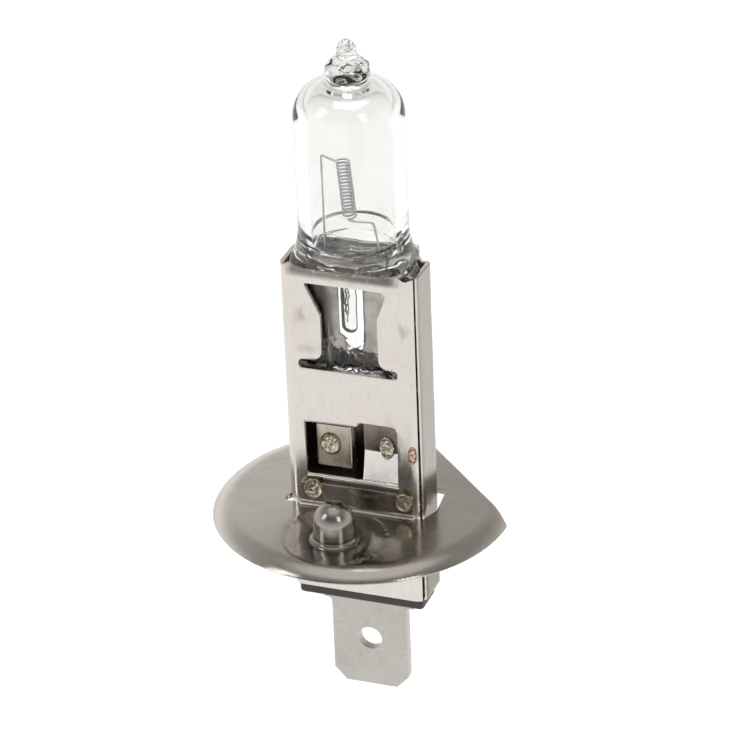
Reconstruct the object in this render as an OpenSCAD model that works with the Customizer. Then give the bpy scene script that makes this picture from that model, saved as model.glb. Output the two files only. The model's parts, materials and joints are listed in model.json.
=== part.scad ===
// Single-filament halogen headlight bulb with a prefocus flange and one blade terminal.
// The origin is the centre of the flange's upper face, on the lamp's axis.
// +Z runs to the sealed tip of the glass, -Y is the side with the locating nub.

/* [Capsule] */
// Outer diameter of the quartz tube
capsule_d = 8.5; // [8.2:0.1:8.8]
// Wall thickness of the quartz tube
capsule_wall = 1; // [0.8:0.05:1.1]
// Height of the dome's crown above the flange
crown_z = 35.95; // [35:0.05:38]
// Height of the sealed tip above the flange
tip_z = 39.2; // [39:0.05:41]
// Width of the flat pinch seal
pinch_w = 10.2; // [9.6:0.1:10.4]
// Thickness of the flat pinch seal
pinch_t = 2.2; // [2:0.1:2.4]
// Height of the foot of the pinch seal above the flange
pinch_foot_z = 11.3; // [10.8:0.1:11.8]

/* [Filament] */
// Outer diameter of the coil
coil_d = 1.15; // [1:0.05:1.3]
// Length of the coil
coil_len = 4.75; // [4.5:0.05:5]
// Number of turns
coil_turns = 17; // [14:1:20]
// Diameter of the coil's wire
coil_wire_d = 0.17; // [0.14:0.01:0.18]
// Diameter of the two inner leads
lead_d = 0.22; // [0.2:0.01:0.3]
// Diameter of the two outer leads
outer_lead_d = 0.6; // [0.5:0.05:0.7]

/* [Sleeve] */
// Outer width of the sleeve
sleeve_w = 11.2; // [11:0.1:11.4]
// Outer depth of the sleeve
sleeve_d = 3.85; // [3.75:0.05:3.9]
// Sheet thickness of the sleeve
sleeve_t = 0.35; // [0.3:0.05:0.4]
// Height of the sleeve's upper edge above the flange
sleeve_top_z = 20.6; // [20.4:0.1:20.8]
// Depth of the sleeve's lower edge below the flange
sleeve_foot = 7.8; // [7.4:0.1:8]
// Width of the open seam at the front right edge
seam_gap = 0.15; // [0.08:0.01:0.2]

/* [Flange] */
// Outer diameter of the flange
flange_d = 23.76; // [23.6:0.02:24]
// Sheet thickness of the flange
flange_t = 0.45; // [0.4:0.05:0.5]
// Distance from the axis to the flange's straight side
chord_dist = 8.5; // [8.3:0.1:8.8]
// Outer diameter of the locating nub
nub_d = 3.3; // [3.1:0.1:3.4]
// Height of the locating nub above the flange
nub_h = 3.05; // [2.85:0.05:3.2]
// Distance of the nub's axis in front of the lamp's axis
nub_dist = 6.45; // [6.3:0.05:6.6]

/* [Terminal] */
// Width of the blade terminal
blade_w = 6.3; // [6.2:0.05:6.4]
// Thickness of the blade terminal
blade_t = 0.8; // [0.75:0.05:0.85]
// Depth of the blade's end below the flange
blade_end = 17.6; // [17:0.1:18]
// Diameter of the blade's hole
hole_d = 2; // [1.8:0.05:2.1]
// Depth of the blade's hole below the flange
hole_depth = 13.3; // [13:0.1:14]
// Depth of the insulator's lower face below the flange
insulator_foot = 8.8; // [8.4:0.1:9]

/* [Hidden] */
$fn = 64;
eps = 0.01;

capsule_r = capsule_d / 2;
capsule_x = 0.15;                        // the capsule is set a little to the right in the sleeve
bore_r = capsule_r - capsule_wall;
dome_r = 2.9;                            // radius of the dome's shoulder
dome_z = crown_z - dome_r;
bore_dome_r = 2.1;
bore_top_z = crown_z - 0.9;
tube_foot_z = 22.9;                      // the round tube closes into the pinch below this
shoulder_z = 21.2;
shoulder_h = 0.4;
flare_inset = 0.04;
floor_z = 21.9;                          // lowest point of the gas space

coil_r = (coil_d - coil_wire_d) / 2;
coil_foot = [-0.1, 0, 24.7];             // the coil leans a little to the left
coil_tilt = -5;
coil_steps = 14;
coil_sides = 6;

long_lead_x = -2.34;
long_lead_top = 29.5;
short_lead_x = 2.19;
short_lead_elbow = [1.72, 0, 24.45];
long_lead_end = [-0.62, -coil_r, 29.47]; // on the last turn of the coil
short_lead_end = [0.02, -coil_r, 24.61]; // on its first turn
lead_sealed_z = 18.6;
knuckle_d = lead_d * 1.1;                // the leads are a little fuller where they bend
foil_x = [-2.35, 2.05];
foil_w = 2.3;
foil_t = 0.06;
foil_low_z = 13.2;
foil_top_z = 19.6;
foil_foot_w = 0.6;                       // the left foil's foot is wider by this much
foil_foot_top_z = 14.7;
outer_lead_x = [-2.1, 2.45];
outer_lead_foot_z = 3.6;
outer_lead_top_z = 15.6;
pocket_x = -0.36;                        // blind pocket left in the clear glass between the foils
pocket_r = 0.55;
pocket_low_z = 14.85;
pocket_len = 4.4;

sleeve_front_y = -1.75;
sleeve_back_y = sleeve_front_y + sleeve_d;
sleeve_mid_y = (sleeve_front_y + sleeve_back_y) / 2;
front_bend_r = 0.9;                      // outer radii of the sleeve's bends
back_bend_r = 0.4;
inner_front_y = sleeve_front_y + sleeve_t;
inner_back_y = sleeve_back_y - sleeve_t;
inner_x = sleeve_w / 2 - sleeve_t;

rim_r = 2.17;
rim_angle = 51;
// The flange is flat up to this radius, then its rim rolls down
rim_flat_r = flange_d / 2 - rim_r * sin(rim_angle);
opening_x = 5.95;
opening_y = 2.7;
tab_x = [-4.43, 4.95];                   // the upturned tabs reach further on the right
tab_t = 0.35;
tab_top_z = 2;
tab_root_r = 0.3;
emboss_r = 4;
emboss_depth = 0.1;

blade_front_y = 0.35;
shoulder_w = 7.8;
blade_top_z = -3;
blade_shoulder_z = -10;
shoulder_top_z = -7;
blade_root_x = 2.5;                      // half width of the part held in the insulator
blade_chamfer = 1;
insulator_top_z = 1.4;
strip_t = 0.4;
flag_front_y = -outer_lead_d / 2 - strip_t;
flag_x = [-3.37, -0.45];
flag_z = [2.82, 6.5];
strip_leg_w = 1.2;
strip_foot_z = -6.5;
tongue_x = [0.6, 4];
tongue_bend_z = 4.7;
slope_drop = 0.1;                        // the slope's back face meets the upright this much lower
tongue_top_z = 7.3;
window_low_z = 2.5;

// Sleeve details
back_rise = 1.1;                         // the middle of the back wall stands higher by this much
back_rise_x = 4.6;
back_window_x = [-3.2, 1.3];             // two weld access windows in the back wall
back_window_w = 1.6;
back_window_z = [3.4, 6.4];
notch_z = [[5.3, 7.5], [15.2, 17.9]];    // two notches along the back right edge
notch_depth = 0.2;
flap_x = 3.9;                            // the side wall's edge is tucked in as far as this
flap_z = [2.2, 7.4];

// Weld nuggets, as [x, z] on the face that carries them
tab_welds = [[-3.28, 1.35], [4.15, 1.25]];
tab_weld_d = 1.5;
seam_weld_at = [4.65, 5.4];
contact_weld_at = [-2.25, 4.86];
earth_weld_z = 5.7;

// Points of an arc about c, from angle a0 to a1
function arc(c, r, a0, a1, n = 10) = [
    for (i = [0:n])
        let (a = a0 + (a1 - a0) * i / n)
        c + r * [cos(a), sin(a)]
];

// A corner [x, y, r] of an outline, rounded between its neighbours
function corner(before, here, after, n = 6) =
    let (
        p = [here[0], here[1]],
        u = unit([before[0], before[1]] - p),
        v = unit([after[0], after[1]] - p),
        half = acos(u * v) / 2,
        centre = p + unit(u + v) * here[2] / sin(half),
        from = p + u * here[2] / tan(half) - centre,
        to = p + v * here[2] / tan(half) - centre,
        a0 = atan2(from[1], from[0]),
        turn = (atan2(to[1], to[0]) - a0 + 540) % 360 - 180
    )
    [for (i = [0:n]) centre + here[2] * [cos(a0 + turn * i / n), sin(a0 + turn * i / n)]];
function unit(v) = v / norm(v);
function rounded(points) =
    let (n = len(points))
    [for (i = [0:n - 1]) each corner(points[(i + n - 1) % n], points[i], points[(i + 1) % n])];

// A round rod between two points
module rod(from, to, d) {
    run = to - from;
    translate(from)
        rotate([0, acos(run[2] / norm(run)), atan2(run[1], run[0])])
            cylinder(d = d, h = norm(run), $fn = 24);
}

// An upright plate: an outline in X and Z, from y0 back to y1
module plate(y0, y1) {
    translate([0, y1, 0]) rotate([90, 0, 0]) linear_extrude(y1 - y0) children();
}

// ---- Capsule ----

// Half section of the outside, from the tube's foot to the sealed tip
capsule_outline = concat(
    [[0, tube_foot_z], [capsule_r, tube_foot_z]],
    arc([capsule_r - dome_r, dome_z], dome_r, 0, 84),
    [[1.55, crown_z + 0.02]],
    arc([1, crown_z + 0.75], 0.72, -25, 70),
    [[0.85, tip_z - 1.3]],
    arc([0, tip_z - 0.65], 0.65, 0, 90)
);

// Half section of the gas space
bore_outline = concat(
    [[0, floor_z]],
    arc([bore_r - 0.9, floor_z + 0.9], 0.9, -90, 0),
    arc([bore_r - bore_dome_r, bore_top_z - bore_dome_r], bore_dome_r, 0, 90)
);

module quartz_capsule() {
    color([0.9, 0.92, 0.92, 0.4]) difference() {
        union() {
            translate([capsule_x, 0, 0]) rotate_extrude($fn = 96) polygon(capsule_outline);
            hull() {
                translate([capsule_x, 0, tube_foot_z])
                    cylinder(r = capsule_r - flare_inset, h = flare_inset, $fn = 32);
                translate([-pinch_w / 2 - flare_inset, -pinch_t / 2, shoulder_z - shoulder_h])
                    cube([pinch_w + 2 * flare_inset, pinch_t, shoulder_h]);
            }
            translate([-pinch_w / 2, -pinch_t / 2, pinch_foot_z])
                cube([pinch_w, pinch_t, shoulder_z - pinch_foot_z - shoulder_h / 2]);
        }
        translate([capsule_x, 0, 0]) rotate_extrude($fn = 96) polygon(bore_outline);
        long_lead();
        short_lead();
        left_foil();
        right_foil();
        left_outer_lead();
        right_outer_lead();
        translate([pocket_x, 0, pocket_low_z + pocket_r]) {
            cylinder(r = pocket_r, h = pocket_len);
            sphere(r = pocket_r);
        }
    }
}

// ---- Filament and leads ----

// Centre line of the coil, and the way out from its axis there
function coil_out(i) = let (a = -90 + 360 * i / coil_steps) [cos(a), sin(a), 0];
function coil_ring(i) = [
    for (k = [0:coil_sides - 1])
        let (a = 360 * k / coil_sides)
        coil_out(i) * (coil_r + coil_wire_d / 2 * cos(a))
            + [0, 0, (coil_len - coil_wire_d) * i / (coil_turns * coil_steps) + coil_wire_d / 2 * sin(a)]
];
module filament_coil() {
    last = coil_turns * coil_steps;
    rings = [for (i = [0:last]) each coil_ring(i)];
    side_faces = [
        for (i = [0:last - 1], k = [0:coil_sides - 1])
            let (a = i * coil_sides + k, b = i * coil_sides + (k + 1) % coil_sides)
            each [[a, b, b + coil_sides], [a, b + coil_sides, a + coil_sides]]
    ];
    foot_cap = [for (k = [coil_sides - 1:-1:0]) k];
    top_cap = [for (k = [0:coil_sides - 1]) last * coil_sides + k];
    color("dimgray") translate(coil_foot) rotate([0, coil_tilt, 0])
        polyhedron(rings, concat([foot_cap], side_faces, [top_cap]));
}

// Left lead: from the pinch up to the coil's top, then across to it
module long_lead() {
    top = [long_lead_x, 0, long_lead_top];
    color("darkgray") {
        rod([long_lead_x, 0, lead_sealed_z], top, lead_d);
        translate(top) sphere(d = knuckle_d, $fn = 24);
        rod(top, long_lead_end, coil_wire_d);
    }
}

// Right lead: up out of the pinch, over the elbow and across to the coil's foot
module short_lead() {
    foot = [short_lead_x, 0, floor_z + 0.1];
    color("darkgray") {
        rod([short_lead_x, 0, lead_sealed_z], foot, lead_d);
        translate(foot) sphere(d = knuckle_d, $fn = 24);
        rod(foot, short_lead_elbow, lead_d);
        translate(short_lead_elbow) sphere(d = knuckle_d, $fn = 24);
        rod(short_lead_elbow, short_lead_end, coil_wire_d);
    }
}

// A foil about x, wider at its foot by foot_w towards +X, with its sealed leads taken out
module foil(x, foot_w) {
    low = foil_low_z;
    right = x + foil_w / 2;
    color("slategray") difference() {
        plate(-foil_t / 2, foil_t / 2) polygon([
            [x - foil_w / 2, low], [right + foot_w, low], [right + foot_w, foil_foot_top_z - foot_w / 2],
            [right, foil_foot_top_z], [right, foil_top_z], [x - foil_w / 2, foil_top_z]
        ]);
        children();
    }
}
module left_foil() foil(foil_x[0], foil_foot_w) { sealed_ends(long_lead_x, outer_lead_x[0]); }
module right_foil() foil(foil_x[1], 0) { sealed_ends(short_lead_x, outer_lead_x[1]); }

// The stretches of an inner and an outer lead that lie on a foil
module sealed_ends(inner_x, outer_x) {
    translate([inner_x, 0, lead_sealed_z])
        cylinder(d = lead_d, h = foil_top_z - lead_sealed_z + 1, $fn = 24);
    translate([outer_x, 0, pinch_foot_z])
        cylinder(d = outer_lead_d, h = outer_lead_top_z - pinch_foot_z, $fn = 32);
}

module outer_lead(x) {
    color("gray") translate([x, 0, outer_lead_foot_z])
        cylinder(d = outer_lead_d, h = outer_lead_top_z - outer_lead_foot_z, $fn = 32);
}
module left_outer_lead() outer_lead(outer_lead_x[0]);
module right_outer_lead() outer_lead(outer_lead_x[1]);

// ---- Sleeve ----

// Spool-shaped window and the lower window, as corners [x, z, radius]
spool_window = [
    [-3.5, 19.3, 0.12], [3.3, 19.3, 0.45], [2.4, 16.9, 1.2], [2.4, 12.65, 0.8], [3.95, 12.62, 0.3],
    [3.88, 11.9, 0.3], [-4.25, 11.9, 0.3], [-4.15, 12.65, 0.33], [-2.25, 12.85, 0.7], [-2.25, 16.6, 1]
];
lower_window = [
    [-4, 7.15, 0.08], [0.3, 7.25, 0.15], [0.65, 7.65, 0.2], [3.75, 7.65, 0.6], [3.65, window_low_z, 0.15],
    [-3.85, window_low_z, 0.15]
];

// A rectangle centred on the sleeve, with its own corner radius at the front and at the back
module sleeve_block(w, d, front_r, back_r) {
    x = w / 2;
    y = d / 2;
    translate([0, sleeve_mid_y]) polygon(concat(
        arc([x - back_r, y - back_r], back_r, 0, 90),
        arc([back_r - x, y - back_r], back_r, 90, 180),
        arc([front_r - x, front_r - y], front_r, 180, 270),
        arc([x - front_r, front_r - y], front_r, 270, 360)
    ));
}

module sleeve() {
    inside_d = sleeve_d - 2 * sleeve_t;
    color([0.8, 0.78, 0.75]) {
        difference() {
            translate([0, 0, -sleeve_foot]) linear_extrude(sleeve_foot + sleeve_top_z + back_rise)
                difference() {
                    sleeve_block(sleeve_w, sleeve_d, front_bend_r, back_bend_r);
                    sleeve_block(2 * inner_x, inside_d, front_bend_r - sleeve_t, back_bend_r - sleeve_t);
                    translate([sleeve_w / 2 - front_bend_r, sleeve_front_y + front_bend_r])
                        rotate([0, 0, -45]) translate([0, -seam_gap / 2]) square([2, seam_gap]);
                }
            // only the back wall's middle reaches up behind the capsule
            translate([-sleeve_w, -sleeve_d, sleeve_top_z])
                cube([2 * sleeve_w, sleeve_d + inner_back_y, 2 * back_rise]);
            for (x = [-sleeve_w, back_rise_x])
                translate([x, 0, sleeve_top_z]) cube([sleeve_w - back_rise_x, sleeve_d, 2 * back_rise]);
            plate(-sleeve_d, 0) polygon(rounded(spool_window));
            plate(0, sleeve_d) polygon(rounded(spool_window));
            plate(-sleeve_d, 0) polygon(rounded(lower_window));
            back_cuts();
        }
        seam_flap();
        earth_tongue();
    }
}

// Weld access windows in the back wall, and two notches in its right bend
module back_cuts() {
    r = 0.3;
    for (x = back_window_x)
        plate(0, sleeve_d) polygon(rounded([
            [x, back_window_z[1], r], [x + back_window_w, back_window_z[1], r],
            [x + back_window_w, back_window_z[0], r], [x, back_window_z[0], r]
        ]));
    for (z = notch_z)
        translate([sleeve_w / 2 - notch_depth, sleeve_back_y - 2 * back_bend_r, z[0]])
            cube([1, 2, z[1] - z[0]]);
}

// The side wall's edge tucks in behind the front wall, where it is welded
module seam_flap() {
    flap_h = flap_z[1] - flap_z[0];
    translate([flap_x, inner_front_y, flap_z[0]]) cube([inner_x - flap_x + eps, sleeve_t, flap_h]);
}

// Tongue of the sleeve's sheet: it folds in at the lower window's foot, slopes back and stands up
module earth_tongue() {
    front_y = -outer_lead_d / 2 - sleeve_t;
    foot_z = window_low_z - sleeve_t;
    translate([tongue_x[0], 0, 0]) rotate([90, 0, 90]) linear_extrude(tongue_x[1] - tongue_x[0]) polygon([
        [inner_front_y - eps, foot_z], [inner_front_y - eps, window_low_z], [front_y, tongue_bend_z],
        [front_y, tongue_top_z], [front_y + sleeve_t, tongue_top_z],
        [front_y + sleeve_t, tongue_bend_z - slope_drop], [inner_front_y + sleeve_t, foot_z]
    ]);
}

// ---- Flange ----

rim_centre = [rim_flat_r, -rim_r];
flange_outline = concat(
    [[0, 0]],
    arc(rim_centre, rim_r, 90, 90 - rim_angle, 8),
    arc(rim_centre, rim_r - flange_t, 90 - rim_angle, 90, 8),
    [[0, -flange_t]]
);

nub_shoulder_r = 1.3;
nub_flare_r = 0.25;
nub_wall = 0.4;
nub_crown_r = 1;
nub_outline = concat(
    [[0, -eps], [nub_d / 2 + nub_flare_r, -eps]],
    arc([nub_d / 2 + nub_flare_r, nub_flare_r], nub_flare_r, 270, 180, 6),
    arc([nub_d / 2 - nub_shoulder_r, nub_h - nub_shoulder_r], nub_shoulder_r, 0, 90),
    [[0, nub_h]]
);
nub_bore_r = nub_d / 2 - nub_wall;
nub_bore_outline = concat(
    [[0, -2], [nub_bore_r, -2]],
    arc([nub_bore_r - nub_crown_r, nub_h - nub_wall - nub_crown_r], nub_crown_r, 0, 90),
    [[0, nub_h - nub_wall]]
);

// One upturned tab with its round root; it stands in front of the line y = 0, on the side of -Y
module tab() {
    root_y = -tab_t - tab_root_r - flange_t;
    translate([tab_x[0], 0, 0]) rotate([90, 0, 90]) linear_extrude(tab_x[1] - tab_x[0]) polygon(concat(
        [[0, -flange_t], [0, tab_top_z], [-tab_t, tab_top_z]],
        arc([-tab_t - tab_root_r, tab_root_r], tab_root_r, 0, -90, 6),
        [[root_y, 0], [root_y, -flange_t]]
    ));
}

module flange() {
    color([0.72, 0.7, 0.67]) difference() {
        union() {
            difference() {
                rotate_extrude($fn = 128) polygon(flange_outline);
                translate([0, -nub_dist, -emboss_depth]) cylinder(r = emboss_r, h = 1, $fn = 96);
                translate([-opening_x, sleeve_mid_y - opening_y, -2])
                    cube([2 * opening_x, 2 * opening_y, 4]);
            }
            translate([0, -nub_dist, -flange_t]) cylinder(r = nub_d / 2 + nub_flare_r, h = flange_t + eps);
            translate([0, -nub_dist, 0]) rotate_extrude() polygon(nub_outline);
            translate([0, sleeve_front_y, 0]) tab();
            translate([0, sleeve_back_y, 0]) mirror([0, 1, 0]) tab();
        }
        translate([0, -nub_dist, 0]) rotate_extrude() polygon(nub_bore_outline);
        rotate([0, 0, 45]) translate([chord_dist, -20, -5]) cube([20, 40, 10]);
    }
}

// ---- Insulator and live contact ----

module insulator() {
    gap = 0.02;
    color([0.2, 0.17, 0.15]) difference() {
        translate([0, 0, -insulator_foot]) linear_extrude(insulator_foot + insulator_top_z)
            sleeve_block(
                2 * (inner_x - gap), inner_back_y - inner_front_y - 2 * gap,
                front_bend_r - sleeve_t, back_bend_r - sleeve_t
            );
        blade_terminal();
        contact_strip();
    }
}

module blade_terminal() {
    half = blade_w / 2;
    color([0.75, 0.73, 0.7]) difference() {
        plate(blade_front_y, blade_front_y + blade_t) polygon([
            [-blade_root_x, blade_top_z], [blade_root_x, blade_top_z], [blade_root_x, shoulder_top_z],
            [shoulder_w / 2, shoulder_top_z], [shoulder_w / 2, blade_shoulder_z], [half, blade_shoulder_z],
            [half, blade_chamfer - blade_end], [half - blade_chamfer, -blade_end],
            [blade_chamfer - half, -blade_end], [-half, blade_chamfer - blade_end],
            [-half, blade_shoulder_z], [-shoulder_w / 2, blade_shoulder_z],
            [-shoulder_w / 2, shoulder_top_z], [-blade_root_x, shoulder_top_z]
        ]);
        plate(blade_front_y - 1, blade_front_y + blade_t + 1)
            translate([0, -hole_depth]) circle(d = hole_d);
    }
}

// Leg on the blade's face, a web forward, and the flag that the live lead is welded to
module contact_strip() {
    flag_h = flag_z[1] - flag_z[0];
    color([0.78, 0.74, 0.68]) {
        translate([flag_x[1] - strip_leg_w, blade_front_y - strip_t, strip_foot_z])
            cube([strip_leg_w, strip_t, flag_z[1] - strip_foot_z]);
        translate([flag_x[1] - strip_t, flag_front_y, flag_z[0]])
            cube([strip_t, blade_front_y - flag_front_y, flag_h]);
        translate([flag_x[0], flag_front_y, flag_z[0]]) cube([flag_x[1] - flag_x[0], strip_t, flag_h]);
    }
}

// ---- Welds ----

// A low nugget with a raised ring, standing out towards -Y from the plane y = 0
module nugget(d, h = 0.14) {
    rotate([90, 0, 0]) rotate_extrude($fn = 40) polygon(concat(
        [[0, 0], [d / 2, 0]],
        arc([d / 2 - h, 0], h, 0, 120, 6),
        [[0, h * 0.45]]
    ));
}

module flange_welds() {
    color([0.7, 0.68, 0.6]) for (at = tab_welds) {
        translate([at[0], sleeve_front_y - tab_t, at[1]]) nugget(tab_weld_d);
        translate([at[0], sleeve_back_y + tab_t, at[1]]) mirror([0, 1, 0]) nugget(tab_weld_d);
    }
}
module seam_weld() {
    color([0.66, 0.6, 0.58])
        translate([seam_weld_at[0], sleeve_front_y, seam_weld_at[1]]) nugget(0.9, 0.1);
}
module contact_weld() {
    color([0.75, 0.7, 0.55])
        translate([contact_weld_at[0], flag_front_y, contact_weld_at[1]]) nugget(1.85);
}
module earth_weld() {
    color([0.7, 0.66, 0.55])
        translate([outer_lead_x[1], -outer_lead_d / 2 - sleeve_t, earth_weld_z])
            scale([0.65, 1, 1]) nugget(1.9);
}

quartz_capsule();
filament_coil();
long_lead();
short_lead();
left_foil();
right_foil();
left_outer_lead();
right_outer_lead();
sleeve();
flange();
insulator();
blade_terminal();
contact_strip();
flange_welds();
seam_weld();
contact_weld();
earth_weld();
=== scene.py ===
"""A halogen headlight bulb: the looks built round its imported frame.

Lengths are in millimetres until mesh_object().
"""

import json
import math

import bmesh
import bpy
import numpy as np
from mathutils import Matrix, Vector, noise
from mathutils.geometry import delaunay_2d_cdt


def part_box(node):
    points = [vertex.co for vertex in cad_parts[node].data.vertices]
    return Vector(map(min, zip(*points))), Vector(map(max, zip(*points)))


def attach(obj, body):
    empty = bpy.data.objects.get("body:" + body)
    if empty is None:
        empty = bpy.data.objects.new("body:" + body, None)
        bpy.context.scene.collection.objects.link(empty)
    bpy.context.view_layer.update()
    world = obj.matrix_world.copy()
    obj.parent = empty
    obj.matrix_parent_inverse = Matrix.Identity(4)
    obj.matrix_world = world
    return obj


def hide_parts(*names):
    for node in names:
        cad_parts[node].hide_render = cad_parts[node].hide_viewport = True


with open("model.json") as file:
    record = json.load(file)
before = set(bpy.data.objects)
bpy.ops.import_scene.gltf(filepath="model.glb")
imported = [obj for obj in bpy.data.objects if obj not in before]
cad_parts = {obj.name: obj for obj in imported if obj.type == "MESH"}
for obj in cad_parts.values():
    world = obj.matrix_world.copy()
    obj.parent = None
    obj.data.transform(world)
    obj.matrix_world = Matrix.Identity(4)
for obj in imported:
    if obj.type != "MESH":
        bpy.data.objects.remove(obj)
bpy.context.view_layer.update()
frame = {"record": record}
MM = 0.001


def box_mm(node):
    """The lowest and highest corner of a CAD node, in millimetres."""
    low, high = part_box(node)
    return np.array(low) / MM, np.array(high) / MM


SLEEVE_LOW, SLEEVE_HIGH = box_mm("sleeve")
FLANGE_HIGH = box_mm("flange")[1]
CAPSULE_LOW, CAPSULE_HIGH = box_mm("quartz_capsule")
BLADE_LOW, BLADE_HIGH = box_mm("blade_terminal")
STRIP_LOW, STRIP_HIGH = box_mm("contact_strip")
INSULATOR_LOW, INSULATOR_HIGH = box_mm("insulator")
MOUNTS = {m["name"]: m for m in frame["record"]["mounts"]}

# ---------------------------------------------------------------- numbers shared by several pieces

FRONT_Y = SLEEVE_LOW[1]
BACK_Y = SLEEVE_HIGH[1]
HALF_W = SLEEVE_HIGH[0]
SHEET = 0.35
FRONT_BEND, BACK_BEND = 0.9, 0.4
SLEEVE_TOP = 20.6
NUB = np.array(MOUNTS["locating_nub"]["pos_m"][:2]) / MM
HOLE_Z = MOUNTS["terminal_hole"]["pos_m"][2] / MM
WINDOW_FOOT = 2.5
LEAD_X = (-2.34, 2.19)
OUTER_LEAD_X = (-2.1, 2.45)
LEAD_FOOT_Z = 18.6
NUB_FOOT_R = 2.0
TONGUE_X = (0.62, 3.98)
TONGUE_Y = -0.63
TONGUE_BEND_Z = 4.7
CAPSULE_X = 0.15
FLAG_FRONT_Y = STRIP_LOW[1]
TAB_OUT = 0.38
TAB_FACE_Y = FRONT_Y - TAB_OUT
WELDS = {
    "tab_left": (-3.28, TAB_FACE_Y, 1.38),
    "tab_right": (4.22, TAB_FACE_Y, 1.25),
    "seam": (5.02, FRONT_Y, 5.42),
    "contact": (-2.25, FLAG_FRONT_Y, 4.86),
    "earth": (OUTER_LEAD_X[1], TONGUE_Y - 0.02, 5.2),
}
WELD_R = {"tab_left": 0.9, "tab_right": 0.8, "seam": 0.6, "contact": 0.95, "earth": 0.8}

# ---------------------------------------------------------------- camera

camera_data = bpy.data.cameras.new("camera")
camera_data.sensor_width = 36
camera_data.lens = 190.2
camera = bpy.data.objects.new("camera", camera_data)
bpy.context.scene.collection.objects.link(camera)
bpy.context.scene.camera = camera


def place_camera(azimuth, elevation, roll, distance, aim_right, aim_up):
    """Puts the camera round the object; aim_right and aim_up move the view's centre, in millimetres."""
    a, e, r = (math.radians(v) for v in (azimuth, elevation, roll))
    right = Vector((math.cos(a), math.sin(a), 0))
    back = Vector((math.sin(a) * math.cos(e), -math.cos(a) * math.cos(e), math.sin(e)))
    up = back.cross(right)
    cam_right = right * math.cos(r) + up * math.sin(r)
    cam_up = up * math.cos(r) - right * math.sin(r)
    turn = Matrix((cam_right, cam_up, back)).transposed()
    # the height 0.5 mm is the plane of the flange's rolled rim, on which the view was set out
    spot = turn @ Vector((aim_right, aim_up, distance)) - Vector((0, 0, 0.5))
    camera.matrix_world = Matrix.Translation(spot * MM) @ turn.to_4x4()


place_camera(azimuth=20.96, elevation=28.04, roll=-2.32, distance=305.2, aim_right=0.225, aim_up=10.764)

# ---------------------------------------------------------------- mesh helpers


def arc(centre, radius, start, end, steps=8):
    """Points of an arc, angles in degrees."""
    angles = np.radians(np.linspace(start, end, steps + 1))
    return [(centre[0] + radius * math.cos(t), centre[1] + radius * math.sin(t)) for t in angles]


def rounded(corners, steps=6):
    """An outline from corners (x, y, radius), each rounded between its neighbours."""
    points = []
    count = len(corners)
    for i, (x, y, radius) in enumerate(corners):
        here = np.array((x, y))
        before = np.array(corners[i - 1][:2]) - here
        after = np.array(corners[(i + 1) % count][:2]) - here
        before, after = before / np.linalg.norm(before), after / np.linalg.norm(after)
        half = math.acos(np.clip(before @ after, -1, 1)) / 2
        middle = (before + after) / np.linalg.norm(before + after)
        centre = here + middle * radius / math.sin(half)
        reach = radius / math.tan(half)
        start, end = here + before * reach - centre, here + after * reach - centre
        a0 = math.atan2(start[1], start[0])
        turn = (math.atan2(end[1], end[0]) - a0 + 3 * math.pi) % (2 * math.pi) - math.pi
        points += [tuple(centre + radius * np.array((math.cos(a0 + turn * k / steps),
                                                     math.sin(a0 + turn * k / steps))))
                   for k in range(steps + 1)]
    return points


def resample(outline, spacing, closed=True):
    """Splits long edges of an outline so that no edge is longer than spacing."""
    points = []
    pairs = zip(outline, outline[1:] + outline[:1]) if closed else zip(outline, outline[1:])
    for a, b in pairs:
        a, b = np.array(a, float), np.array(b, float)
        parts = max(1, math.ceil(np.linalg.norm(b - a) / spacing))
        points += [tuple(a + (b - a) * k / parts) for k in range(parts)]
    return points if closed else points + [tuple(outline[-1])]


def inside(points, outline):
    """Even-odd test of many points against one outline."""
    points, outline = np.asarray(points, float), np.asarray(outline, float)
    x, y = points[:, 0][:, None], points[:, 1][:, None]
    x0, y0 = outline[:, 0], outline[:, 1]
    x1, y1 = np.roll(x0, -1), np.roll(y0, -1)
    crosses = (y0 > y) != (y1 > y)
    rise = np.where(y1 == y0, 1e-12, y1 - y0)
    return (crosses & (x < x0 + (y - y0) * (x1 - x0) / rise)).sum(1) % 2 == 1


def flat_mesh(outlines, columns, rows):
    """Triangles filling an even-odd set of outlines, with grid points at columns x rows.

    Returns points and triangles.
    """
    edge_points, edges = [], []
    for outline in outlines:
        first = len(edge_points)
        edge_points += outline
        count = len(outline)
        edges += [(first + i, first + (i + 1) % count) for i in range(count)]
    rim = np.array(edge_points)
    grid = np.array([(x, y) for x in columns for y in rows])
    member = np.zeros(len(grid), int)
    for outline in outlines:
        member += inside(grid, outline)
    grid = grid[member % 2 == 1]
    spacing = min(np.diff(columns).min(), np.diff(rows).min())
    near = np.zeros(len(grid), bool)
    for start in range(0, len(rim), 200):
        gap = np.linalg.norm(grid[:, None] - rim[None, start:start + 200], axis=2).min(1)
        near |= gap < 0.45 * spacing
    grid = grid[~near]
    both = [Vector(p) for p in np.vstack([rim, grid])]
    points, _, faces, *_ = delaunay_2d_cdt(both, edges, [], 0, 1e-5)
    points = np.array([tuple(p) for p in points])
    faces = np.array([f for f in faces if len(f) == 3])
    middle = points[faces].mean(1)
    member = np.zeros(len(middle), int)
    for outline in outlines:
        member += inside(middle, outline)
    return points, faces[member % 2 == 1]


def steps_between(marks):
    """Grid lines from (start, end, spacing) runs, ends shared."""
    lines = [marks[0][0]]
    for start, end, spacing in marks:
        count = max(1, round((end - start) / spacing))
        lines += list(start + (end - start) * np.arange(1, count + 1) / count)
    return np.array(lines)


def join(parts):
    """Joins (points, faces) parts into one."""
    points, faces = [], []
    for part_points, part_faces in parts:
        first = len(points)
        points += [tuple(p) for p in part_points]
        faces += [tuple(int(i) + first for i in f) for f in part_faces]
    return points, faces


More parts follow.
